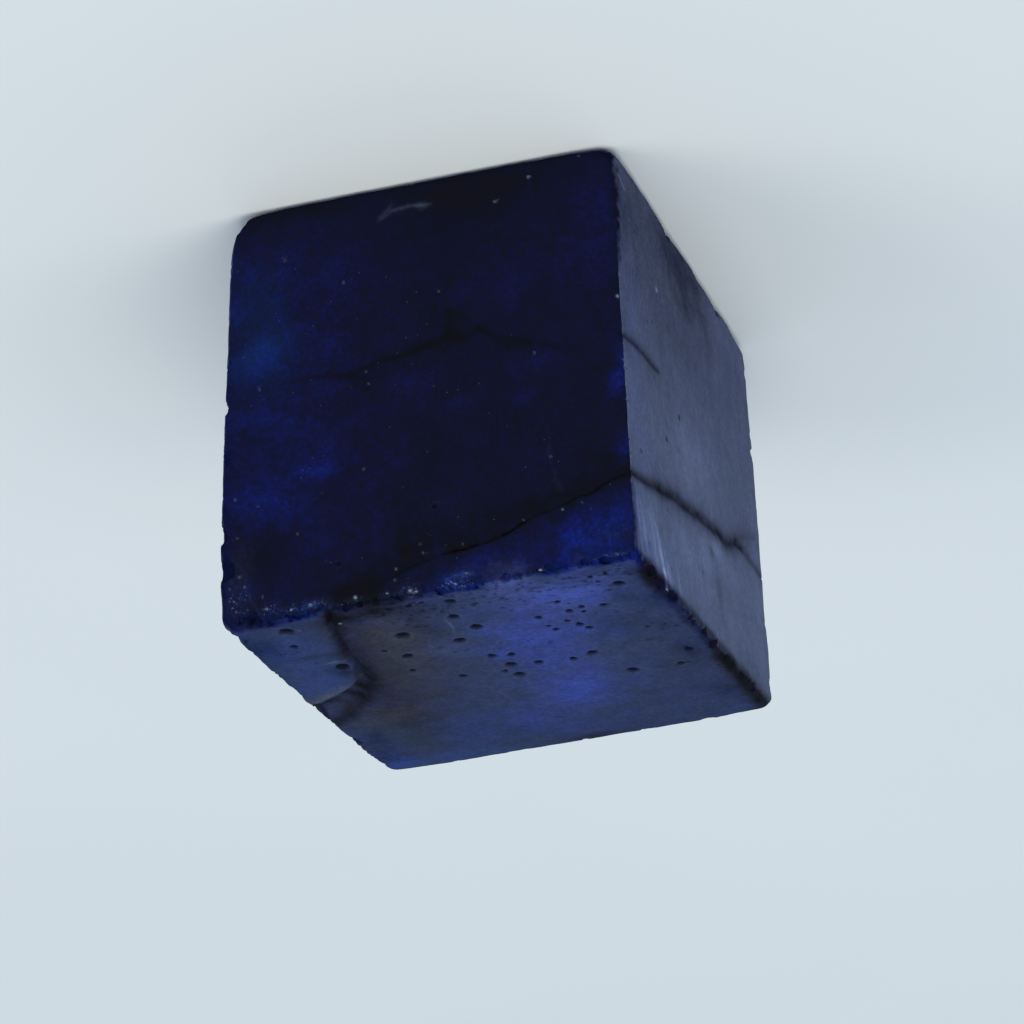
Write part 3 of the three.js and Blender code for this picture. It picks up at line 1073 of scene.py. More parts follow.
# Where there is more of a paint, or less of it: middle, reach, strength.
ZONES: dict[tuple[Side, Paint], Places] = {
    (FRONT, BLUE): (
        (5.6, 9.6, 2.9, 4.6, 0.26), (6.4, 3.6, 2.4, 3, 0.2), (3.6, 3.6, 2.2, 2, 0.08),
        (-6.2, 15, 1.4, 0.9, 0.75), (-5.3, 15.2, 0.4, 0.4, 0.7), (-6.9, 14.5, 0.6, 0.6, 0.25),
        (-3.2, 15.4, 1.5, 0.55, 0.5), (-2, 15.5, 0.9, 0.35, 0.2), (1.8, 13.8, 2, 1, 0.06),
        (4.2, 11.1, 0.7, 0.45, 0.68), (6.1, 12.1, 0.9, 0.55, 0.6), (6.2, 6.1, 1, 0.6, 0.62),
        (6.7, 8.6, 0.8, 0.4, 0.22), (4.6, 9.6, 1.1, 1.2, 0.12), (7.1, 3.3, 0.5, 1.2, 0.2),
        (-7.35, 12.2, 0.28, 0.5, 0.7), (-7.15, 9.6, 0.32, 0.45, 0.8), (-7.4, 8.6, 0.2, 0.4, 0.7),
        (-3.7, 9.5, 0.4, 0.3, 0.3), (-1.5, 9.35, 0.4, 0.25, 0.25), (0.3, 8.6, 0.9, 0.8, 0.14),
        (-4.6, 8.3, 1.5, 0.5, 0.12), (-6.3, 4.5, 1.5, 2.6, 0.09), (-3.5, 4.9, 1, 0.9, 0.12),
        (-1.6, 5.2, 0.5, 0.4, 0.12), (-7, 2.6, 0.8, 1.6, 0.1), (-6, 11, 1.2, 1.6, -0.05),
        (-0.2, 11.5, 0.8, 1.6, -0.05), (5.8, 13.9, 1.1, 0.9, -0.16), (-1.6, 1, 2.8, 1.4, -0.13),
        (5.2, 0.5, 2.4, 0.5, -0.2), (6.4, 15.6, 0.6, 0.5, 0.1), (7.2, 15.7, 0.3, 0.4, 0.1),
        (6.6, 15.2, 0.25, 0.3, 0.2), (-1.2, 16.1, 0.6, 0.3, 0.35),
    ),
    (LEFT, BLUE): (
        (-7.8, 9.5, 1.2, 6, 0.3), (-4.5, 15, 3.5, 0.8, 0.14), (-8.6, 15, 0.9, 1.2, 0.2),
        (-6.4, 15.1, 1.8, 0.9, 0.3),
    ),
    (TOP, BLUE): (
        (-4.6, -6.6, 1.7, 1.5, 1.05), (-3, -7.2, 1.2, 1.2, 0.5), (-2.7, -3.4, 1.7, 2.4, 1.05),
        (-2, 0.6, 1.3, 2.2, 0.9), (-2, 3.4, 1.6, 1.6, 0.95), (0.6, 5.3, 1.4, 1.3, 0.6),
        (3.4, 5.6, 1.2, 1.4, 0.45), (-1, 7.3, 1.6, 0.9, 0.3), (7.1, 8, 0.6, 1, 0.7),
        (5.9, -4.8, 1.2, 3.2, 0.3), (6.6, -2.2, 0.9, 0.9, 0.25), (-5.8, 6.5, 1.2, 1.5, 0.12),
        (4.8, 8, 1.4, 0.7, 0.2), (0, -8, 0.8, 0.6, 0.2), (-4.9, -6, 1.2, 1, 0.25),
        (-3.2, -7.9, 1.4, 0.6, 0.25), (-1, -3.4, 1.1, 2.2, 0.5), (-0.9, 3, 1.1, 1.4, 0.4),
        (1.1, -3.2, 0.9, 0.9, 0.3), (5, 3.4, 1.1, 2.4, -0.2), (5, 5.9, 1, 1, -0.2),
        (4.4, -8.8, 1, 0.3, 0.25), (-6.9, -7.6, 0.6, 0.7, 0.4), (2.6, -4.6, 1.9, 3.2, -0.36),
        (3.9, -1, 1.1, 2.2, -0.22), (5.6, 2.4, 1.6, 2.2, -0.2), (-6.2, 1.5, 1, 4, -0.06),
    ),
    (RIGHT, BLUE): (
        (-5.5, 4, 2.4, 3, 0.4), (-1.5, 9.5, 2.2, 1.6, 0.35), (4.2, 6, 2, 2.6, 0.45),
        (6.4, 12, 1.4, 1.8, 0.3), (1.5, 2.4, 2.2, 1.2, 0.25),
    ),
    (BACK, BLUE): (
        (-5, 13.6, 2, 1.5, 0.5), (-3.2, 6, 2.2, 2.6, 0.45), (2.5, 9.2, 1.8, 2, 0.4),
        (5.2, 3.2, 1.6, 2, 0.5), (4.6, 14.8, 1.6, 0.8, 0.3),
    ),
    (BASE, BLUE): ((-3.5, -3, 2.5, 3, 0.3), (3, 4, 2.2, 2.6, 0.4)),
    (FRONT, STAIN): (
        (5.6, 14, 1.2, 0.9, 0.35), (2.4, 15.9, 1.1, 0.35, 0.6), (0.3, 14.1, 0.6, 1, 0.35),
        (1, 7.3, 1.7, 0.5, 0.35), (-1, 6.5, 0.8, 0.7, 0.35), (-3.4, 7.5, 1.2, 0.4, 0.25),
        (2.1, 16.1, 1.1, 0.45, 0.8), (6.2, 15.9, 0.3, 0.25, 0.5), (6.9, 15.4, 0.2, 0.5, 0.5),
    ),
    (FRONT, HAZE): ((7, 14.4, 0.5, 0.9, 0.05),),
    (FRONT, STEEL): ((6.3, 5.2, 1.4, 2.6, 0.2), (6.2, 6.1, 1, 0.6, 0.3)),
    (FRONT, SCAR): ((-1.2, 16.1, 0.6, 0.32, 0.7),),
    # glassy rims: a glossy coat, with painted highlights (sparks) among the crumbs
    (FRONT, GLINT): (
        (-1.45, 15.98, 0.5, 0.27, 1.1), (-1, 16.22, 0.5, 0.24, 1.2), (0.55, 16.2, 0.36, 0.2, 1.1),
        (1.35, 16.2, 0.25, 0.12, 0.5), (2.5, 16.25, 0.4, 0.15, 0.5), (4.4, 16.22, 0.7, 0.2, 1.1),
        (5.9, 16.1, 0.5, 0.3, 0.4), (6.9, 15.6, 0.5, 0.8, 0.35), (-4.2, 16.2, 0.25, 0.12, 0.6),
        (-6.6, 16.03, 0.6, 0.1, 0.8), (-6.6, 15.3, 1, 0.4, 0.2),
    ),
    (LEFT, HAZE): (
        (-1, 14.2, 9, 1.7, 0.2), (-6.8, 14.6, 1, 1.4, 0.25), (0.5, 11.4, 8, 1.6, 0.08),
        (-8.8, 14.8, 0.4, 1.6, -0.45), (-7.6, 15.5, 0.8, 0.5, -0.18), (-5.7, 15.3, 0.9, 0.5, 0.3),
        (-8.7, 2.6, 0.9, 2.2, -0.24), (-8.7, 7.2, 0.8, 2, -0.18), (1.6, 1.6, 2.6, 1.5, -0.22),
        (-6.2, 8.1, 2, 0.7, -0.1), (6.6, 2.8, 2, 1.2, -0.12), (0.8, 8.7, 2, 1.1, 0.2),
        (8.4, 11.4, 1.4, 1, 0.12), (8, 8, 0.8, 0.9, 0.12), (-1.6, 10.4, 2.6, 0.7, 0.16),
        (-0.2, 12.9, 1, 0.6, 0.14), (0.2, 12.6, 1.4, 0.8, 0.2), (3.6, 11.9, 2.4, 0.7, 0.25),
        (5.9, 15.3, 1.6, 0.6, -0.15), (-8.6, 14, 0.4, 0.8, -0.2), (-1.2, 0.9, 3.2, 1.7, -0.58),
        (-7, 1.6, 3.2, 2.6, -0.3), (-4.6, 4.8, 4.2, 2.2, -0.22), (1, 4.4, 4.4, 1.8, -0.2),
        (7.8, 12.4, 1.2, 2.4, 0.14), (-1, 9.3, 1.8, 0.9, 0.16), (-1.7, 9.5, 0.35, 0.8, 0.12),
        (2, 13.4, 0.4, 0.8, -0.16), (1.8, 11.75, 0.9, 0.35, 0.5), (-0.3, 2.6, 0.9, 0.7, -0.16),
        (-7.4, 2.4, 1.4, 0.7, -0.16), (-2.4, 13.4, 1, 0.6, 0.3), (-5.6, 13.95, 0.2, 0.12, -0.6),
        (-8.3, 15.9, 0.12, 0.3, -0.5), (-7.3, 15.1, 0.1, 0.2, -0.5), (-6.3, 13.8, 0.15, 0.15, -0.4),
        (1.1, 12.2, 0.4, 0.25, -0.3),
    ),
    (LEFT, STAIN): ((1.1, 12.2, 0.22, 0.16, 0.35),),
    (TOP, WARM): (
        (2.4, -5.2, 1.9, 2.4, 0.2), (3.7, -1.6, 1, 2.4, 0.15), (2.2, -7.6, 1.8, 0.9, 0.25),
        (5.6, 1.8, 1.4, 1.2, 0.3),
    ),
    (TOP, STEEL): (
        (2.6, -5.2, 1.7, 3, -0.16), (4.4, 0.4, 1.4, 3, -0.2), (5, 8.4, 2.4, 0.7, 0.3),
        (7.1, 8.3, 0.7, 0.7, 0.3), (3.2, 8.5, 1.4, 0.5, 0.25), (6.2, -4.6, 1.2, 3.2, 0.3),
        (6.9, -1.6, 0.7, 0.8, 0.3),
    ),
    (TOP, HAZE): (
        (2.6, -5.4, 1.2, 1.6, 0.025), (-4.4, -6.6, 1.4, 1.2, 0.14), (-2.8, -7.7, 1.4, 0.7, 0.13),
        (-1, -4.2, 1, 1.6, 0.04), (1.1, -3.2, 0.9, 0.9, 0.07), (-7.1, -4.8, 0.6, 0.7, -0.14),
        (-7, 0.9, 0.5, 1, -0.08), (-7, 5.7, 0.5, 0.7, -0.1), (-4.9, -2.8, 1.2, 1.3, -0.09),
        (7.2, -6.3, 0.8, 1.3, -0.16), (3.1, -3.8, 0.7, 1.4, 0.03), (1.1, -6, 0.6, 1.5, -0.07),
        (4.9, 3, 1.2, 2.2, -0.06), (7, 4.4, 0.6, 1.2, -0.07), (7.2, 0.4, 0.6, 0.5, -0.1),
        (-4, -8.85, 3.4, 0.2, -0.1), (4.6, -8.75, 0.8, 0.3, 0.08), (1, -7.5, 1, 0.6, -0.07),
        (-5, -8.85, 1.2, 0.3, -0.07), (-1.2, -8.7, 1, 0.3, 0.12), (7.2, 6.8, 0.7, 1, -0.09),
        (-6.9, -7.6, 0.6, 0.7, 0.08), (3.5, -4.6, 0.9, 3, -0.045), (5, 0.8, 1.6, 1.4, -0.03),
        (2.2, -7.9, 2.2, 0.8, -0.06), (-3.4, -3.4, 2.4, 5, 0.09), (-1.6, 3, 1.8, 2.6, 0.05),
        (0.4, 0.4, 1.6, 3.4, 0.03),
    ),
    # painted shade in patches beside the valley
    (TOP, PIT): ((5.3, -3.1, 0.42, 0.6, 0.6), (5.7, -5.1, 0.75, 0.16, 0.4), (4.9, -5, 0.3, 0.16, 0.3)),
    (TOP, STAIN): (
        (2.2, -8.3, 1.2, 0.4, 0.35), (0.8, -8.85, 0.8, 0.22, 0.5), (6.8, -8.85, 1, 0.25, 0.35),
        (-6.3, 5, 0.8, 1.2, 0.16), (1.8, 6.2, 0.6, 0.8, 0.18), (6.9, 4.7, 0.4, 0.8, 0.26),
        (-0.9, 8.6, 1.4, 0.35, 0.5), (-6.8, 6.3, 0.5, 0.5, 0.2), (5.6, -0.7, 0.35, 0.3, 0.6),
        (6.25, -0.1, 0.5, 0.26, 0.8), (7.2, 0.5, 0.5, 0.26, 0.7), (2.5, -8.2, 1.9, 0.45, 0.5),
        (-6.9, -7.6, 0.35, 0.5, 0.5), (-6.1, -5.4, 0.5, 0.5, 0.3), (-6.6, -2.2, 0.35, 0.5, 0.3),
        (-6.7, 0.9, 0.3, 0.7, 0.4),
    ),
    (TOP, GLINT): (
        (-1.2, -8.8, 0.5, 0.12, 0.7), (0.5, -8.8, 0.3, 0.1, 0.5), (-7.6, -3, 0.12, 0.5, 0.7),
        (-7.6, -5, 0.1, 0.2, 0.4),
    ),
    (RIGHT, HAZE): ((-4, 13, 3, 2, 0.2), (3, 1.6, 4, 1.4, -0.2)),
    (RIGHT, WARM): ((3, 12.5, 2.5, 1.2, 0.3),),
    (BACK, HAZE): ((0, 14.5, 5, 1.2, 0.2), (-4, 1.4, 3, 1.2, -0.2)),
}

# Paint along the edges. A station is a place along the edge, how far the paint reaches there
# and its strength.
RIMS: dict[tuple[tuple[Side, Side], Paint], Places] = {
    ((FRONT, TOP), SCAR): (
        (-7.6, 0.32, 0.8), (-6, 0.32, 0.85), (-5.6, 0.22, 0.3), (-5.1, 0.38, 0.9), (-4.2, 0.38, 0.9),
        (-3.9, 0.25, 0.3), (-2.2, 0.25, 0.3), (-1.8, 0.42, 0.9), (-0.5, 0.42, 0.9), (0, 0.38, 0.8),
        (2, 0.42, 0.85), (3.2, 0.4, 0.85), (3.7, 0.3, 0.5), (4.2, 0.38, 0.85), (5.5, 0.44, 0.9),
        (7.6, 0.55, 0.95),
    ),
    ((FRONT, TOP), BLUE): (
        (-7.6, 0.6, 0.3), (-4.2, 0.5, 0.3), (-3.9, 0.6, 0.2), (-0.6, 0.5, 0.35), (0.2, 0.4, 0),
        (1.8, 0.4, -0.2), (3.4, 0.4, -0.1), (4.2, 0.5, 0.15), (5.2, 0.5, 0.1), (6.4, 0.5, 0),
        (7.6, 0.5, 0.05),
    ),
    ((FRONT, TOP), HAZE): (
        (-5.9, 0.4, 0), (-5.5, 0.6, 0.06), (-5.2, 0.4, 0), (-4, 0.4, 0), (-3.4, 0.7, 0.12),
        (-2.4, 0.7, 0.12), (-2, 0.4, 0), (3.4, 0.4, 0), (3.8, 0.5, 0.07), (4.2, 0.4, 0),
    ),
    ((LEFT, TOP), SCAR): (
        (-8.8, 0.3, 0.9), (-6, 0.42, 0.9), (-3, 0.38, 0.75), (0, 0.36, 0.7), (2.5, 0.34, 0.5),
        (5, 0.3, 0.4), (8.8, 0.28, 0.3),
    ),
    ((LEFT, TOP), BLUE): (
        (-8.8, 0.4, 0.3), (-8, 0.4, 0), (-7, 0.4, -0.3), (-6, 0.4, -0.1), (-5, 0.4, 0.02),
        (-3.6, 0.36, 0.02), (-2.9, 0.4, 0.12), (-2.2, 0.36, 0.02), (0, 0.4, -0.06), (1.2, 0.4, -0.15),
        (2.5, 0.5, -0.3), (8.8, 0.5, -0.35),
    ),
    ((LEFT, TOP), STAIN): (
        (-8.2, 0.3, 0), (-7.4, 0.5, 0.7), (-6.4, 0.45, 0.65), (-5.4, 0.42, 0.35), (-3, 0.4, 0.2),
        (0.8, 0.4, 0.35), (2.2, 0.45, 0.5), (6, 0.42, 0.42), (8.6, 0.4, 0.35),
    ),
    ((FRONT, RIGHT), SCAR): ((6, 0.3, 0), (9, 0.4, 0.3), (12, 0.5, 0.6), (16, 0.7, 0.7)),
}

# Painted lines. A station is a place, a width and a strength.
STROKES: dict[tuple[Side, Paint], Sequence[Places]] = {
    (FRONT, STAIN): (
        # The stain under the main fracture.
        (
            (-7.5, 12.7, 0.5, 0.7), (-6, 13.2, 0.5, 0.75), (-4.4, 13.6, 0.45, 0.7), (-3, 14.1, 0.5, 0.7),
            (-1.6, 14.4, 0.5, 0.7), (-0.2, 14.6, 0.6, 0.75), (1.2, 15, 0.5, 0.6), (3, 16, 0.4, 0.5),
        ),
        # The second fracture, healed.
        (
            (5.4, 7.2, 0.1, 0.2), (4.9, 7.35, 0.12, 0.4), (4.3, 7.35, 0.12, 0.5), (3.2, 7.5, 0.16, 0.7),
            (2.2, 7.3, 0.15, 0.8), (1.2, 7.15, 0.12, 0.8), (0.5, 7.1, 0.11, 0.8), (-0.2, 6.85, 0.13, 0.9),
            (-1, 6.7, 0.2, 0.9), (-1.7, 6.75, 0.2, 0.8), (-2.2, 6.6, 0.15, 0.8), (-2.7, 6.9, 0.16, 0.7),
            (-3.5, 7.4, 0.17, 0.6), (-4.3, 7.55, 0.15, 0.5), (-5.1, 7.95, 0.2, 0.6), (-5.8, 8, 0.15, 0.3),
        ),
        ((-1.1, 6.7, 0.2, 0.8), (-1.1, 6.1, 0.14, 0.8), (-1.05, 5.6, 0.1, 0.5), (-1, 5.2, 0.08, 0.1)),
        ((-1.9, 6.3, 0.12, 0.3), (-1.1, 5.7, 0.1, 0.3)),
        (
            (1.75, 8.6, 0.1, 0.2), (2, 8.2, 0.13, 0.5), (2.1, 7.8, 0.16, 0.6), (2.5, 7.6, 0.18, 0.6),
            (3.1, 7.5, 0.16, 0.4),
        ),
    ),
    (FRONT, DUST): (
        # A scratch, and its branch.
        (
            (-0.45, 1.15, 0.06, 0.04), (0, 1.1, 0.07, 0.085), (0.4, 1.05, 0.07, 0.075),
            (1.1, 1.15, 0.06, 0.045), (1.6, 1.5, 0.06, 0.02),
        ),
        ((1.05, 0.85, 0.06, 0.02), (1.5, 1.35, 0.07, 0.045)),
    ),
    (FRONT, HAZE): (
        (
            (-4.9, 13.3, 0.06, 0.02), (-4.6, 12, 0.07, 0.035), (-4.5, 11, 0.07, 0.015),
            (-4.3, 10.2, 0.06, 0.01),
        ),
    ),
    (LEFT, STAIN): (
        ((2.2, 15, 0.3, 0.08), (1.9, 14.2, 0.35, 0.2), (1.7, 13.2, 0.3, 0.22)),
        ((1, 16.02, 0.1, 0.2), (4, 15.95, 0.17, 0.55), (8.8, 15.88, 0.17, 0.5)),
    ),
    (TOP, STAIN): (
        ((-7.65, 0.6, 0.25, 0.2), (-7.6, 2.4, 0.34, 0.6), (-7.6, 8.6, 0.32, 0.6)),
        ((-7.3, -7.4, 0.3, 0.4), (-7.3, -6, 0.35, 0.35), (-7.4, -4.8, 0.3, 0.2)),
        # The dark rim of the valley.
        (
            (7.6, 2.1, 0.45, 0.82), (6.6, 1.2, 0.46, 0.82), (5.7, 0.2, 0.42, 0.74),
            (5.2, -0.7, 0.44, 0.55), (4.75, -1.7, 0.44, 0.78), (4.6, -2.3, 0.38, 0.75),
            (4.4, -3.6, 0.34, 0.7), (4.4, -4.7, 0.4, 0.72), (4.3, -5.5, 0.38, 0.7),
            (4.1, -6.5, 0.32, 0.66), (3.9, -7.3, 0.32, 0.62), (3.6, -8.6, 0.32, 0.58),
        ),
        # The tint outside that.
        (
            (6, 2, 0.7, 0.2), (4.8, 0.4, 0.8, 0.25), (4.1, -1.8, 0.8, 0.25), (3.8, -4.6, 0.7, 0.25),
            (3.3, -7.6, 0.8, 0.3),
        ),
    ),
    (LEFT, HAZE): (
        ((-8.85, 0, 0.4, -0.9), (-8.8, 2.5, 0.3, -0.8), (-8.8, 5, 0.15, -0.3)),
        # The dark strip and the bright streaks beside the front edge.
        ((-8.85, 13.4, 0.1, -0.2), (-8.82, 14.6, 0.13, -0.4), (-8.8, 16.2, 0.16, -0.4)),
        ((-8.1, 16, 0.12, 0.3), (-8.3, 14.6, 0.13, 0.4), (-8.5, 13.1, 0.1, 0.15)),
        ((-7.4, 15.9, 0.14, 0.25), (-7.8, 14.6, 0.16, 0.4), (-8.2, 13.3, 0.12, 0.1)),
        ((-6.2, 16, 0.1, 0.3), (-6.6, 14.9, 0.12, 0.45), (-7.2, 13.5, 0.1, 0.15)),
        ((-5.15, 16.15, 0.15, 1.8), (-5.65, 15.2, 0.15, 1.5), (-6.4, 13.7, 0.11, 0.3)),
        ((-4.6, 16.1, 0.14, 0.5), (-5, 15.4, 0.16, 0.4), (-5.5, 14.5, 0.12, 0.1)),
        ((-3.4, 16, 0.16, 0.3), (-3.9, 14.9, 0.16, 0.25), (-4.3, 13.9, 0.12, 0.05)),
    ),
    (LEFT, DUST): (
        ((-7.6, 1.4, 0.05, 0.2), (-8.3, 1.1, 0.05, 0.3)),
    ),
    (TOP, HAZE): (
        ((5.6, -4.2, 0.08, 0.15), (5.2, -4.25, 0.11, 0.4), (4.75, -4.1, 0.09, 0.2)),
        # The pale front rim of the valley, a painted highlight along its edge.
        (
            (5, -2.1, 0.2, 0.03), (5.5, -1.65, 0.3, 0.06), (6.1, -1.25, 0.38, 0.08),
            (6.8, -0.85, 0.4, 0.08), (7.45, -0.45, 0.38, 0.07),
        ),
    ),
    (TOP, WARM): (
        ((5.3, -1.8, 0.3, 0.3), (6.2, -1.2, 0.4, 0.5), (7.45, -0.45, 0.4, 0.5)),
    ),
    (TOP, BLUE): (
        ((5.3, -1.8, 0.3, -0.1), (6.2, -1.2, 0.4, -0.25), (7.45, -0.45, 0.4, -0.25)),
    ),
    (TOP, DUST): (
        ((0.4, -4.9, 0.04, 0.03), (0.2, -5.5, 0.045, 0.08), (0.15, -6.6, 0.04, 0.05)),
    ),
}

# Bright specks: place, radius, strength. Most are dust; those along the front's chipped top edge, near
# 16 on the second axis, are painted glints.
SPECKS: dict[Side, Places] = {
    FRONT: (
        (-7.3, 6.25, 0.07, 1), (-4.2, 0.8, 0.07, 0.6), (-2.9, 1.55, 0.06, 0.5), (-6.1, 0.3, 0.05, 0.4),
        (2.2, 11.3, 0.05, 0.25), (-0.7, 4.8, 0.05, 0.25), (2.95, 3.7, 0.05, 0.25), (5.25, 2.35, 0.1, 0.1),
        (-4.65, 12, 0.07, 0.16), (0.05, 14.85, 0.05, 0.3), (1.05, 15.3, 0.05, 0.5),
        (1.1, 15.7, 0.05, 0.3), (4.7, 13.4, 0.06, 0.2), (6.7, 15.1, 0.06, 0.3), (-4.2, 7.9, 0.05, 0.25),
        (2, 8, 0.05, 0.25), (-5, 14.05, 0.05, 0.6), (-5.7, 13.9, 0.04, 0.3), (-3.6, 14.2, 0.04, 0.4),
        (-1.4, 14.75, 0.04, 0.3), (0.15, 14.5, 0.06, 0.15), (2.1, 7.5, 0.05, 0.2), (6.2, 7.5, 0.05, 0.2),
        (7.1, 11.7, 0.06, 0.25), (7, 13.2, 0.05, 0.2), (6.2, 12.1, 0.05, 0.15), (-7.4, 8.75, 0.05, 0.4),
        # the rest, from (2.55, 16.13) on, are painted glints on the chips along the front's top edge
        (-7.45, 8.5, 0.05, 0.3), (2.55, 16.13, 0.06, 1.6), (-4.2, 16.16, 0.045, 1.5),
        (1.38, 16.15, 0.045, 0.8), (-6.4, 15.99, 0.045, 1), (-6.8, 16.05, 0.045, 1),
        (5.83, 16.07, 0.05, 0.8), (0.55, 16.18, 0.055, 1.4), (0.4, 16.27, 0.05, 1.2),
        (4.9, 16.25, 0.05, 1), (4.3, 16.22, 0.045, 1), (-1.5, 15.86, 0.04, 0.8), (-1.1, 16.2, 0.05, 0.9),
        (-0.95, 16.12, 0.04, 0.8), (7.1, 15.6, 0.05, 0.35), (6.9, 14.7, 0.06, 0.3),
        (7.25, 15.1, 0.05, 0.3), (6, 15.6, 0.04, 0.3), (7, 16, 0.05, 0.3),
    ),
    LEFT: ((-4.2, 3.75, 0.11, 1), (-5.2, 16.1, 0.09, 1.4)),
    TOP: ((3.6, -7.7, 0.07, 0.9), (5.1, -7.75, 0.06, 0.25)),
}
SPECK_SHARES = (0.85, 0.45)  # of the listed radius and strength, how much a speck has

SCUFFS = (
    Scuffs(TOP, (-7, -8.7), (4.2, -7.3), 40, 0.55),
    Scuffs(TOP, (-7.2, -7), (-5.2, 4), 18, 0.45),
    Scuffs(TOP, (-5, -6.4), (3.8, 7.8), 34, 0.28),
    Scuffs(TOP, (5, -7), (7.2, -2), 6, 0.35),
)

SEED = 7  # where the scattered marks start from
THIN = 0.07  # a painted line narrower than this needs the finest mesh
LIVELY_LINE = (0.07, 0.7)  # how far most painted lines wander, and how patchy they are
CALM_LINE = (0.03, 0.25)  # the same for the stains on the sides other than the front


def cut_marks(block: Block, rng: np.random.Generator) -> Iterator[Mark]:
    """Everything cut into the stone, in the order in which it is worked.

    Args:
        block: The block that it is cut into.
        rng: Where the scattered marks come from.

    Yields:
        The marks.
    """
    for edge in CHIPPED_EDGES:
        yield from edge.large()
    yield Groove(TOP, VALLEY, fine=MIDDLING)
    for fracture in FRACTURES:
        yield from fracture.marks()
    for side, pits in PITS.items():
        shape = LONG_PITS.get(side, (1.0, 1.0))
        yield from (Pit(side, (u, v), PIT_SHARE * radius, shape=shape) for u, v, radius in pits)
    for pores in PORES:
        yield from pores.marks(rng)
    for edge in CHIPPED_EDGES:
        yield from edge.small(block, rng)


def painted_marks(rng: np.random.Generator) -> Iterator[Mark]:
    """Everything that is only painted on the stone.

    Args:
        rng: Where the scattered marks come from.

    Yields:
        The marks.
    """
    yield from (Coat(side, paint, strength) for (side, paint), strength in COATS.items())
    for (side, paint), zones in ZONES.items():
        yield from (Zone(side, paint, (u, v), (a, b), strength) for u, v, a, b, strength in zones)
    yield from (Rim(between, paint, stations) for (between, paint), stations in RIMS.items())
    for (side, paint), strokes in STROKES.items():
        wander, patchy = CALM_LINE if paint is STAIN and side is not FRONT else LIVELY_LINE
        for stations in strokes:
            thin = min(width for _, _, width, _ in stations) < THIN
            yield Stroke(side, stations, wander, FINE if thin else MIDDLING, paint, patchy)
    for scuffs in SCUFFS:
        yield from scuffs.marks(rng)
    size, bright = SPECK_SHARES
    for side, specks in SPECKS.items():
        yield from (Speck(side, (u, v), size * r, bright * strength) for u, v, r, strength in specks)


# ---- Finishes ----

Colour = Triple
Socket = bpy.types.NodeSocket
Input = Socket | float | Colour


@dataclass(frozen=True)
class Cloud:
    """Soft noise with its middle at 0.5, and what it becomes where a finish needs a pattern.

    Args:
        per_mm: How many waves there are to a millimetre along each axis.
        detail: How many finer patterns are added.
        rough: How strong the finer patterns are.
        part: The part of the noise's range that the pattern uses.
        becomes: What the two ends of that part become.
    """

    per_mm: Triple
    detail: float
    rough: float
    part: Pair = (0.0, 1.0)
    becomes: Pair = (0.0, 1.0)


@dataclass(frozen=True)
class Dots:
    """Small scattered dots.

    Args:
        per_mm: How many cells there are to a millimetre.
        size: A dot's radius, in cells.
        share: How many of the cells have one.
    """

    per_mm: float
    size: float
    share: float


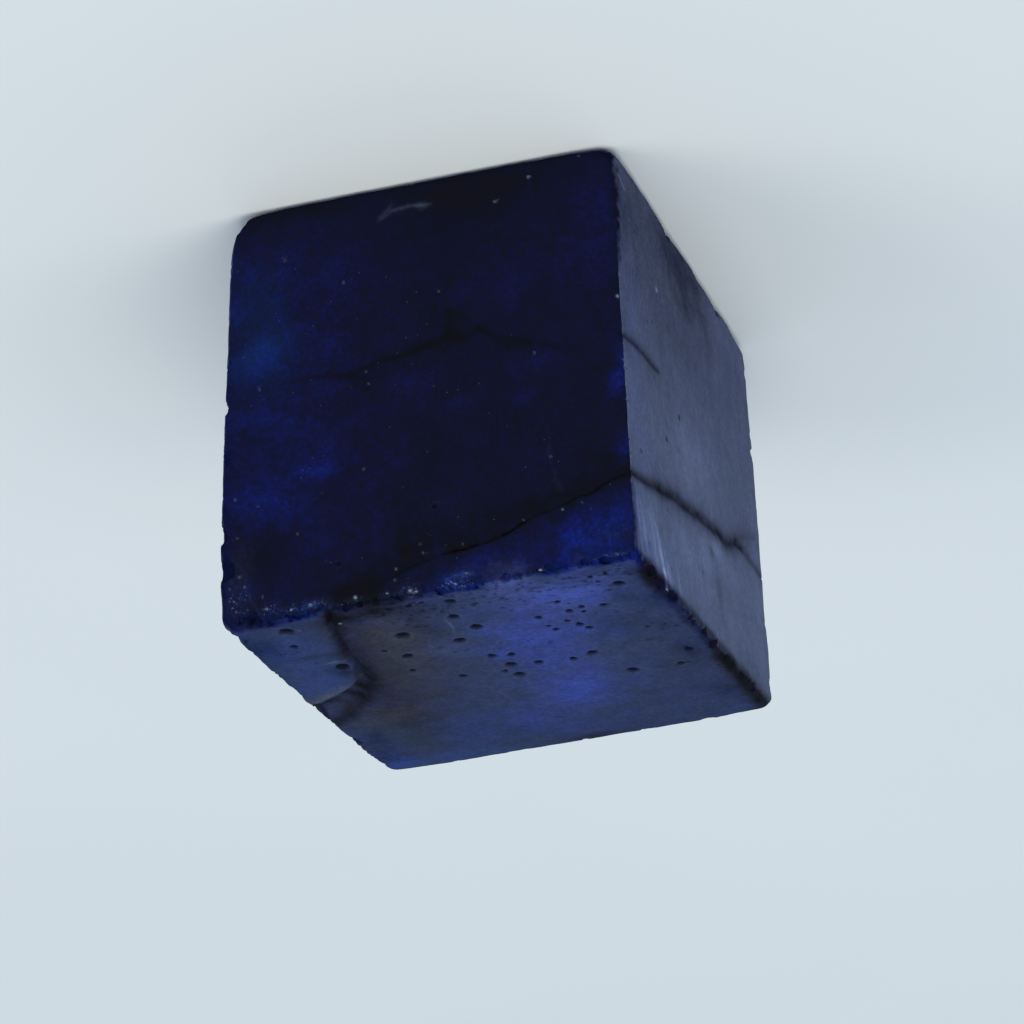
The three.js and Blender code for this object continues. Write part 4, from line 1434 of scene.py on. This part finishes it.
@dataclass
class Shade:
    """One material while its nodes are laid.

    Args:
        name: The material's name.
    """

    name: str
    material: bpy.types.Material = field(init=False)
    shader: bpy.types.Node = field(init=False)

    def __post_init__(self) -> None:
        """Makes the material, with only its shader and its output."""
        self.material = bpy.data.materials.new(self.name)
        self.material.use_nodes = True
        self.material.node_tree.nodes.clear()
        self.shader = self.node("ShaderNodeBsdfPrincipled")
        output = self.node("ShaderNodeOutputMaterial")
        self.join(output.inputs["Surface"], self.shader.outputs["BSDF"])

    def node(self, kind: str, **settings: object) -> bpy.types.Node:
        """Lays a node.

        Args:
            kind: Its type.
            settings: Its settings, by name.

        Returns:
            The node.
        """
        made = self.material.node_tree.nodes.new(kind)
        for key, value in settings.items():
            setattr(made, key, value)
        return made

    def join(self, socket: Socket, value: Input) -> None:
        """Links a socket to another node's output, or sets it to a plain value.

        Args:
            socket: The socket.
            value: The output or the value.
        """
        if isinstance(value, Socket):
            self.material.node_tree.links.new(value, socket)
        elif isinstance(value, tuple) and socket.type == "RGBA":
            socket.default_value = (*value, 1.0)
        else:
            socket.default_value = value

    def sum(self, operation: str, *values: Input, clamp: bool = False) -> Socket:
        """Lays a Math node.

        Args:
            operation: What it works out.
            values: What it works that out from.
            clamp: Whether it holds the result between 0 and 1.

        Returns:
            The result.
        """
        made = self.node("ShaderNodeMath", operation=operation, use_clamp=clamp)
        for socket, value in zip(made.inputs, values, strict=False):
            self.join(socket, value)
        return made.outputs["Value"]

    def mix(self, blend: str, amount: Input, under: Input, over: Input) -> Socket:
        """Lays a colour Mix node, which lets the amount be more than 1.

        Args:
            blend: The way it mixes.
            amount: How much of the upper colour there is.
            under: The lower colour.
            over: The upper colour.

        Returns:
            The mixed colour.
        """
        made = self.node("ShaderNodeMix", data_type="RGBA", blend_type=blend, clamp_factor=False)
        sockets = [socket for socket in made.inputs if socket.type == "RGBA"]
        self.join(made.inputs["Factor"], amount)
        self.join(sockets[0], under)
        self.join(sockets[1], over)
        return next(socket for socket in made.outputs if socket.type == "RGBA")

    def paint(self, paint: Paint) -> Socket:
        """How much of a paint there is."""
        return self.node("ShaderNodeAttribute", attribute_name=paint.value).outputs["Fac"]

    def places(self, per_mm: Triple) -> Socket:
        """The place on the object, scaled so that one unit is one wave of a pattern.

        Args:
            per_mm: How many waves there are to a millimetre along each axis.

        Returns:
            The vector socket.
        """
        mapping = self.node("ShaderNodeMapping")
        source = self.node("ShaderNodeTexCoord").outputs["Object"]
        self.join(mapping.inputs["Vector"], source)
        mapping.inputs["Scale"].default_value = [wave / MM for wave in per_mm]
        return mapping.outputs["Vector"]

    def cloud(self, cloud: Cloud) -> Socket:
        """Lays a cloud's plain noise.

        Args:
            cloud: The cloud.

        Returns:
            The noise, from 0 to 1.
        """
        made = self.node("ShaderNodeTexNoise")
        self.join(made.inputs["Vector"], self.places(cloud.per_mm))
        made.inputs["Scale"].default_value = 1.0
        made.inputs["Detail"].default_value = cloud.detail
        made.inputs["Roughness"].default_value = cloud.rough
        return made.outputs["Fac"]

    def pattern(self, cloud: Cloud) -> Socket:
        """What a cloud becomes."""
        return self.span(self.cloud(cloud), cloud.part, cloud.becomes)

    def span(self, value: Input, source: Pair, target: Pair) -> Socket:
        """Maps a value smoothly from one range to another, and holds it at the ends.

        Args:
            value: The value.
            source: The two ends that it comes from.
            target: What those become.

        Returns:
            The mapped value.
        """
        made = self.node("ShaderNodeMapRange", interpolation_type="SMOOTHSTEP")
        for socket, plain in zip(made.inputs, (value, *source, *target), strict=False):
            self.join(socket, plain)
        return made.outputs["Result"]

    def dots(self, dots: Dots) -> Socket:
        """Lays dots.

        Args:
            dots: The dots.

        Returns:
            1 inside a dot, 0 elsewhere.
        """
        made = self.node("ShaderNodeTexVoronoi")
        self.join(made.inputs["Vector"], self.places((dots.per_mm,) * 3))
        made.inputs["Scale"].default_value = 1.0
        dot = self.span(made.outputs["Distance"], (0.5 * dots.size, dots.size), (1.0, 0.0))
        chosen = self.sum("GREATER_THAN", made.outputs["Color"], 1 - dots.share)
        return self.sum("MULTIPLY", dot, chosen)

    def bump(self, height: Input, distance: float, under: Input | None = None) -> Input:
        """A bump from a height from 0 to 1.

        Args:
            height: The height.
            distance: How far 1 stands above 0, in millimetres.
            under: A bump to add this one to.

        Returns:
            The normal.
        """
        made = self.node("ShaderNodeBump")
        made.inputs["Distance"].default_value = distance * MM
        self.join(made.inputs["Height"], height)
        if under is not None:
            self.join(made.inputs["Normal"], under)
        return made.outputs["Normal"]


@dataclass(frozen=True)
class SapphireFinish:
    """Dark blue corundum, sawn and left rough.

    Its colour is the dark body, plus the blue of its depths and the haze of its ground surface, which
    carries a painted sheen, more of it on the sides seen at a slant. Stain, scars and the painted shade
    inside the pits darken that, and dust lies on top, with painted glints among its specks on the
    chipped rim between the front and the top.

    Each colour is added, or put on top, as much as the paint of its name says, and glow and spark
    belong to the glassy rims, where the sparks are painted highlights. Each cloud says how uneven one
    thing is: the blue's depths, the whole surface in the large (mottle) and in the small (motes), the
    saw's streaks, the stain (patches), a fracture's core (breaks), a glassy rim (crumbs) and the fine
    and the coarse relief.

    Args:
        thin: Two small amounts of haze, and how strong the surface's unevenness is at each.
        thick: Two large amounts of haze, and how much of that is left at each.
        sparks: The small and the larger sparks, painted highlights.
        stray: How bright the sparks are off the crumbs, as a share of the glassy rim's strength.
        lit: The two strengths of a glassy rim between which the sparks come out.
        loose: The dust that lies all over, and loose_strength how bright it is.
        glass: The weight and the roughness of the coat on a glassy rim.
        heights: How high the fine and the coarse relief stand, in millimetres.
    """

    body: Colour = (0.0074, 0.0074, 0.0120)
    blue: Colour = (0.0000, 0.0060, 0.1000)
    # the colour of the ground haze and of the painted sheen that it carries
    haze: Colour = (0.092, 0.114, 0.190)
    steel: Colour = (0.000, 0.020, 0.045)
    warm: Colour = (0.030, 0.026, 0.022)
    scar: Colour = (0.0045, 0.0060, 0.0150)
    stain: Colour = (0.0066, 0.0066, 0.0102)
    crack: Colour = (0.0036, 0.0034, 0.0048)
    # the colour of the painted shade inside the pits
    pit: Colour = (0.0045, 0.0070, 0.0180)
    # the colour of the dust, and of the painted glints among its specks
    dust: Colour = (0.32, 0.40, 0.62)
    glow: Colour = (0.004, 0.022, 0.110)
    # the colour of the sparks, painted highlights on the glassy rims
    spark: Colour = (0.30, 0.37, 0.66)
    depths: Cloud = Cloud((0.55, 0.55, 0.55), 5.0, 0.6, (0.3, 0.72), (0.72, 1.3))
    mottle: Cloud = Cloud((1.6, 1.6, 1.6), 4.0, 0.6, (0.3, 0.7), (0.8, 1.2))
    motes: Cloud = Cloud((6.0, 6.0, 6.0), 3.0, 0.65, (0.35, 0.7), (0.72, 1.3))
    streaks: Cloud = Cloud((2.5, 2.5, 0.4), 4.0, 0.6, (0.3, 0.7), (0.975, 1.025))
    patches: Cloud = Cloud((2.2, 0.9, 2.2), 4.0, 0.6, (0.3, 0.7), (0.86, 1.06))
    breaks: Cloud = Cloud((5.0, 1.8, 5.0), 3.0, 0.6, (0.35, 0.65), (0.35, 1.3))
    crumbs: Cloud = Cloud((5.5, 5.5, 5.5), 3.0, 0.65, (0.47, 0.62), (0.0, 1.0))
    thin: tuple[Pair, Pair] = ((0.03, 0.18), (1.35, 0.62))
    thick: tuple[Pair, Pair] = ((0.4, 0.8), (1.0, 0.62))
    sparks: tuple[Dots, Dots] = (Dots(14.0, 0.34, 0.32), Dots(8.5, 0.24, 0.3))
    stray: float = 0.15
    lit: Pair = (0.0, 0.3)
    loose: Dots = Dots(2.6, 0.08, 0.25)
    loose_strength: float = 0.1
    roughness: Pair = (0.42, 0.62)
    scar_roughness: float = 0.22
    glass: Pair = (0.12, 0.12)
    refraction: float = 1.77
    fine: Cloud = Cloud((14.0, 14.0, 14.0), 3.0, 0.6)
    coarse: Cloud = Cloud((2.5, 2.0, 2.5), 4.0, 0.6)
    heights: Pair = (0.009, 0.02)

    def make(self) -> bpy.types.Material:
        """Lays the finish's nodes.

        Returns:
            The material.
        """
        shade = Shade("rough_corundum")
        motes, scar, glint = shade.pattern(self.motes), shade.paint(SCAR), shade.paint(GLINT)
        clean = self.clean_colour(shade, motes, scar)
        shade.join(shade.shader.inputs["Base Color"], self.marked_colour(shade, clean, glint))
        rough = shade.span(motes, self.motes.becomes, self.roughness)
        rough = shade.sum("SUBTRACT", rough, shade.sum("MULTIPLY", scar, rough))
        rough = shade.sum("ADD", rough, shade.sum("MULTIPLY", scar, self.scar_roughness))
        shade.join(shade.shader.inputs["Roughness"], rough)
        weight, coat_roughness = self.glass
        shade.join(shade.shader.inputs["Coat Weight"], shade.sum("MULTIPLY", glint, weight, clamp=True))
        shade.shader.inputs["Coat Roughness"].default_value = coat_roughness
        shade.shader.inputs["Coat IOR"].default_value = self.refraction
        shade.shader.inputs["IOR"].default_value = self.refraction
        shade.shader.inputs["Specular IOR Level"].default_value = 0.0
        fine = shade.bump(shade.cloud(self.fine), self.heights[0])
        coarse = shade.bump(shade.cloud(self.coarse), self.heights[1], fine)
        shade.join(shade.shader.inputs["Normal"], coarse)
        return shade.material

    def clean_colour(self, shade: Shade, motes: Input, scar: Input) -> Input:
        """The stone's colour before fractures, pits and dust.

        Args:
            shade: The material.
            motes: The small unevenness.
            scar: How much of a place is a fresh chip.

        Returns:
            The colour.
        """
        uneven = shade.sum("MULTIPLY", shade.pattern(self.mottle), motes)
        thin, thick = (shade.span(shade.paint(HAZE), *spans) for spans in (self.thin, self.thick))
        strength = shade.sum("MULTIPLY", thin, thick)
        texture = shade.sum("MULTIPLY_ADD", shade.sum("SUBTRACT", uneven, 1.0), strength, 1.0)
        ground = shade.sum("MULTIPLY", texture, shade.pattern(self.streaks))
        colour: Input = self.body
        # the haze paint carries a painted sheen, strongest on the sides seen at a slant
        for paint, pigment in {HAZE: self.haze, WARM: self.warm}.items():
            colour = shade.mix("ADD", shade.sum("MULTIPLY", shade.paint(paint), ground), colour, pigment)
        colour = shade.mix("ADD", shade.paint(STEEL), colour, self.steel)
        colour = shade.mix("MIX", scar, colour, self.scar)
        depths = shade.sum("MULTIPLY", shade.pattern(self.depths), texture)
        return shade.mix("ADD", shade.sum("MULTIPLY", shade.paint(BLUE), depths), colour, self.blue)

    def marked_colour(self, shade: Shade, colour: Input, glint: Input) -> Input:
        """The stone's colour with everything on it.

        Args:
            shade: The material.
            colour: The colour under that.
            glint: How much of a place is a glassy rim.

        Returns:
            The colour.
        """
        stain = shade.sum("MULTIPLY", shade.paint(STAIN), shade.pattern(self.patches), clamp=True)
        colour = shade.mix("MIX", stain, colour, self.stain)
        crack = shade.sum("MULTIPLY", shade.paint(CRACK), shade.pattern(self.breaks), clamp=True)
        colour = shade.mix("MIX", crack, colour, self.crack)
        # painted shade inside the pits
        colour = shade.mix("MIX", shade.paint(PIT), colour, self.pit)
        crumbs = shade.sum("MULTIPLY", shade.pattern(self.crumbs), glint)
        colour = shade.mix("ADD", crumbs, colour, self.glow)
        # sparks: painted highlights, bright dots on the glassy rims
        sparks = shade.sum("MAXIMUM", *(shade.dots(dots) for dots in self.sparks))
        near = shade.sum("MULTIPLY_ADD", glint, self.stray, crumbs)
        sparks = shade.sum("MULTIPLY", sparks, near, clamp=True)
        sparks = shade.sum("MULTIPLY", sparks, shade.span(glint, self.lit, (0.0, 1.0)))
        colour = shade.mix("MIX", sparks, colour, self.spark)
        loose = shade.sum("MULTIPLY", shade.dots(self.loose), self.loose_strength)
        # the dust paint also holds the painted glints on the chipped front rim
        dust = shade.sum("MAXIMUM", shade.paint(DUST), loose)
        return shade.mix("MIX", dust, colour, self.dust)


@dataclass(frozen=True)
class TabletopFinish:
    """Plain pale matt card.

    Args:
        colour: Its colour.
        lighter: How much lighter it is in places.
        tone: Where those are.
        roughness: Its roughness.
        gloss: How much it reflects.
    """

    colour: Colour = (0.594, 0.669, 0.739)
    lighter: float = 1.02
    tone: Cloud = Cloud((0.02, 0.02, 0.02), 2.0, 0.55, (0.3, 0.7), (0.0, 1.0))
    roughness: float = 0.9
    gloss: float = 0.1

    def make(self) -> bpy.types.Material:
        """Lays the finish's nodes.

        Returns:
            The material.
        """
        shade = Shade("pale_card")
        lighter = tuple(min(1.0, part * self.lighter) for part in self.colour)
        colour = shade.mix("MIX", shade.pattern(self.tone), self.colour, lighter)
        shade.join(shade.shader.inputs["Base Color"], colour)
        shade.shader.inputs["Roughness"].default_value = self.roughness
        shade.shader.inputs["Specular IOR Level"].default_value = self.gloss
        return shade.material


# ---- The stone, the tabletop, the lights and the camera ----


def finished(name: str, work: bmesh.types.BMesh, material: bpy.types.Material) -> bpy.types.Object:
    """Makes an object of a worked mesh and puts it into the scene.

    Args:
        name: Its name.
        work: The mesh, which is used up.
        material: Its material.

    Returns:
        The object.
    """
    mesh = bpy.data.meshes.new(name)
    work.to_mesh(mesh)
    work.free()
    mesh.materials.append(material)
    made = bpy.data.objects.new(name, mesh)
    bpy.context.scene.collection.objects.link(made)
    return made


@dataclass
class RoughSapphire:
    """The stone: a fine mesh, worked into shape and painted.

    Args:
        block: The block that it is worked from.
        marks: Everything cut into it and painted on it.
        finish: Its finish.
        cuts: How many times each edge of the block is cut for the first, even mesh.
        passes: How many times the mesh is halved again where something asks for it.
        even: The spacing that the mesh has where nothing asks for less.
        even_hidden: The same on the sides that face away.
        crisp: The angle from which an edge between two faces is drawn sharp, in degrees.
    """

    block: Block
    marks: Sequence[Mark]
    finish: SapphireFinish
    cuts: int = 39
    passes: int = 3
    even: float = COARSE
    even_hidden: float = 0.45
    crisp: float = 38.0

    def spacing(self, points: np.ndarray) -> np.ndarray:
        """How close together the mesh's points must be.

        Args:
            points: An array of n points on the sharp block.

        Returns:
            The n distances.
        """
        wanted = np.full(len(points), self.even_hidden)
        for edge in self.block.edges:
            near = self.block.beside(edge, points)[0] < edge.band
            wanted[near] = np.minimum(wanted[near], edge.spacing)
        sides = self.block.side_of(points)
        for i, side in enumerate(self.block.faces):
            here = sides == i
            places = points[here][:, side.map_axes]
            finest = np.full(len(places), self.even if side in SEEN else self.even_hidden)
            for mark in self.marks:
                if mark.side is side:
                    finest = np.minimum(finest, mark.spacing(places))
            wanted[here] = np.minimum(wanted[here], finest)
        return wanted

    def sharp_block(self) -> bmesh.types.BMesh:
        """The block before wear, cut into a fine mesh where the marks need it.

        Returns:
            The mesh.
        """
        work = bmesh.new()
        bmesh.ops.create_cube(work, size=2.0)
        for vertex in work.verts:
            sides = [side for side in Side if vertex.co.dot(Vector(side.value)) > 0]
            vertex.co = self.block.corner(*sides)
        bmesh.ops.subdivide_edges(work, edges=work.edges[:], cuts=self.cuts, use_grid_fill=True)
        for _ in range(self.passes):
            centres = np.array([face.calc_center_median() for face in work.faces])
            sizes = np.sqrt([face.calc_area() for face in work.faces])
            coarse = sizes > self.spacing(centres)
            faces = (face for face, split in zip(work.faces, coarse, strict=True) if split)
            edges = {edge for face in faces for edge in face.edges}
            bmesh.ops.subdivide_edges(work, edges=list(edges), cuts=1, use_grid_fill=True)
            many_sided = [face for face in work.faces if len(face.verts) > 4]
            bmesh.ops.triangulate(work, faces=many_sided)
            log.info("mesh cut to %d faces", len(work.faces))
        return work

    def build(self) -> bpy.types.Object:
        """Makes the stone's mesh, works the marks into it and gives it its finish.

        Returns:
            The stone.
        """
        work = self.sharp_block()
        skin = Skin(self.block, np.array([vertex.co for vertex in work.verts]))
        for mark in self.marks:
            mark.work(skin)
        for vertex, point in zip(work.verts, skin.points.tolist(), strict=True):
            vertex.co = Vector(point) * MM
        stone = finished("sapphire_stone", work, self.finish.make())
        mesh = stone.data
        for paint, amount in skin.paint.items():
            layer = mesh.attributes.new(paint.value, "FLOAT", "POINT")
            layer.data.foreach_set("value", np.clip(amount, 0.0, paint.most).astype(np.float32))
        mesh.polygons.foreach_set("use_smooth", [True] * len(mesh.polygons))
        mesh.set_sharp_from_angle(angle=math.radians(self.crisp))
        return stone


@dataclass
class Tabletop:
    """The plain pale surface that the stone rests on.

    Args:
        finish: Its finish.
        size: Its width, in metres.
        drop: How far it lies under the stone's base, in metres, so that the two don't coincide.
    """

    finish: TabletopFinish
    size: float = 3.0
    drop: float = 1e-5

    def build(self) -> bpy.types.Object:
        """Makes the tabletop."""
        work = bmesh.new()
        bmesh.ops.create_grid(work, x_segments=2, y_segments=2, size=self.size / 2)
        bmesh.ops.translate(work, verts=work.verts[:], vec=(0, 0, -self.drop))
        return finished("tabletop", work, self.finish.make())


def placed(name: str, data: bpy.types.ID, place: Vector, towards: Vector) -> bpy.types.Object:
    """Puts a light or a camera into the scene.

    Args:
        name: Its name.
        data: What it is.
        place: Where it stands.
        towards: The way from what it looks at to where it stands.

    Returns:
        The object.
    """
    made = bpy.data.objects.new(name, data)
    made.location = place
    made.rotation_mode = "QUATERNION"
    made.rotation_quaternion = (-towards).to_track_quat("-Z", "Y")
    bpy.context.scene.collection.objects.link(made)
    return made


def direction(azimuth: float, elevation: float) -> Vector:
    """The unit vector towards a place round the stone.

    Args:
        azimuth: Degrees from the front, more to the right.
        elevation: Degrees above the tabletop.

    Returns:
        The vector.
    """
    turn, lift = math.radians(azimuth), math.radians(elevation)
    return Vector((math.sin(turn) * math.cos(lift), -math.cos(turn) * math.cos(lift), math.sin(lift)))


@dataclass
class Softbox:
    """A large soft light that looks at the stone.

    Args:
        azimuth: Degrees from the front, more to the right.
        elevation: Degrees above the tabletop.
        distance: Metres from the stone.
        size: Its width, in metres.
        strength: Its power in watts.
        colour: Its colour.
    """

    azimuth: float
    elevation: float
    distance: float
    size: float
    strength: float
    colour: Colour = (1.0, 1.0, 1.0)

    def build(self, name: str, aim: Vector) -> bpy.types.Object:
        """Makes the light.

        Args:
            name: Its name.
            aim: The point that it looks at.

        Returns:
            The light.
        """
        lamp = bpy.data.lights.new(name, "AREA")
        lamp.shape = "DISK"
        lamp.size = self.size
        lamp.energy = self.strength
        lamp.color = self.colour
        towards = direction(self.azimuth, self.elevation)
        light = placed(name, lamp, aim + towards * self.distance, towards)
        light.visible_camera = False
        return light


@dataclass
class Ambient:
    """The soft light that comes from all round.

    Args:
        colour: Its colour.
        strength: How bright it is.
    """

    colour: Colour = (0.735, 0.838, 1.0)
    strength: float = 0.627

    def build(self) -> None:
        """Makes the world."""
        world = bpy.data.worlds.new("soft_room")
        world.use_nodes = True
        background = world.node_tree.nodes["Background"]
        background.inputs["Color"].default_value = (*self.colour, 1.0)
        background.inputs["Strength"].default_value = self.strength
        bpy.context.scene.world = world


@dataclass
class Viewpoint:
    """The camera, which is held upside down.

    Args:
        azimuth: Degrees from the front, more to the right.
        elevation: Degrees above the tabletop.
        roll: Degrees that the camera is turned about its own line of sight.
        offset: From the middle of the stone's box to the point looked at, in millimetres.
        distance: From that point, in millimetres.
        lens: Its focal length, in millimetres.
        sensor: Its sensor's width, in millimetres.
        clip: The nearest and the farthest thing that it sees, in metres.
    """

    azimuth: float = -17.635
    elevation: float = 23.506
    roll: float = 178.135
    offset: Triple = (-0.196, 0.614, 1.159)
    distance: float = 104.91
    lens: float = 96.54
    sensor: float = 36.0
    clip: Pair = (0.01, 10.0)

    def build(self, middle: Vector) -> bpy.types.Object:
        """Makes the camera and has the scene look through it.

        Args:
            middle: The middle of the stone's box.

        Returns:
            The camera.
        """
        eye = bpy.data.cameras.new("viewpoint")
        eye.lens = self.lens
        eye.sensor_width = self.sensor
        eye.clip_start, eye.clip_end = self.clip
        towards = direction(self.azimuth, self.elevation)
        place = middle + (Vector(self.offset) + towards * self.distance) * MM
        camera = placed("viewpoint", eye, place, towards)
        camera.rotation_quaternion @= Quaternion((0, 0, 1), math.radians(self.roll))
        bpy.context.scene.camera = camera
        return camera


DAYLIGHT: Colour = (1.0, 0.90, 0.70)
SOFTBOXES = {
    "high_softbox": Softbox(-25.0, 70.0, 1.20, 0.76, 6.80, DAYLIGHT),
    "left_softbox": Softbox(-75.0, 50.0, 1.20, 0.76, 2.20, DAYLIGHT),
    "right_softbox": Softbox(50.0, 30.0, 1.20, 0.76, 3.90, DAYLIGHT),
}


def main() -> None:
    """Builds the stone and what is round it."""
    logging.basicConfig(level=logging.INFO, format="%(name)s: %(message)s")
    bpy.context.scene.view_settings.view_transform = "Standard"
    middle = (CAD_BOX[0] + CAD_BOX[1]) / 2
    Viewpoint().build(middle)
    Ambient().build()
    for name, softbox in SOFTBOXES.items():
        softbox.build(name, middle)

    tabletop = Tabletop(TabletopFinish()).build()

    block = Block(FACES, EDGES, CORNERS)
    rng = np.random.default_rng(SEED)
    marks = [*cut_marks(block, rng), *painted_marks(rng)]
    stone = RoughSapphire(block, marks, SapphireFinish()).build()
    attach(stone, "root")
    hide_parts(STONE_NODE)
    log.info("%s: %d faces", stone.name, len(stone.data.polygons))

    bpy.context.view_layer.update()


if __name__ == "__main__":
    main()
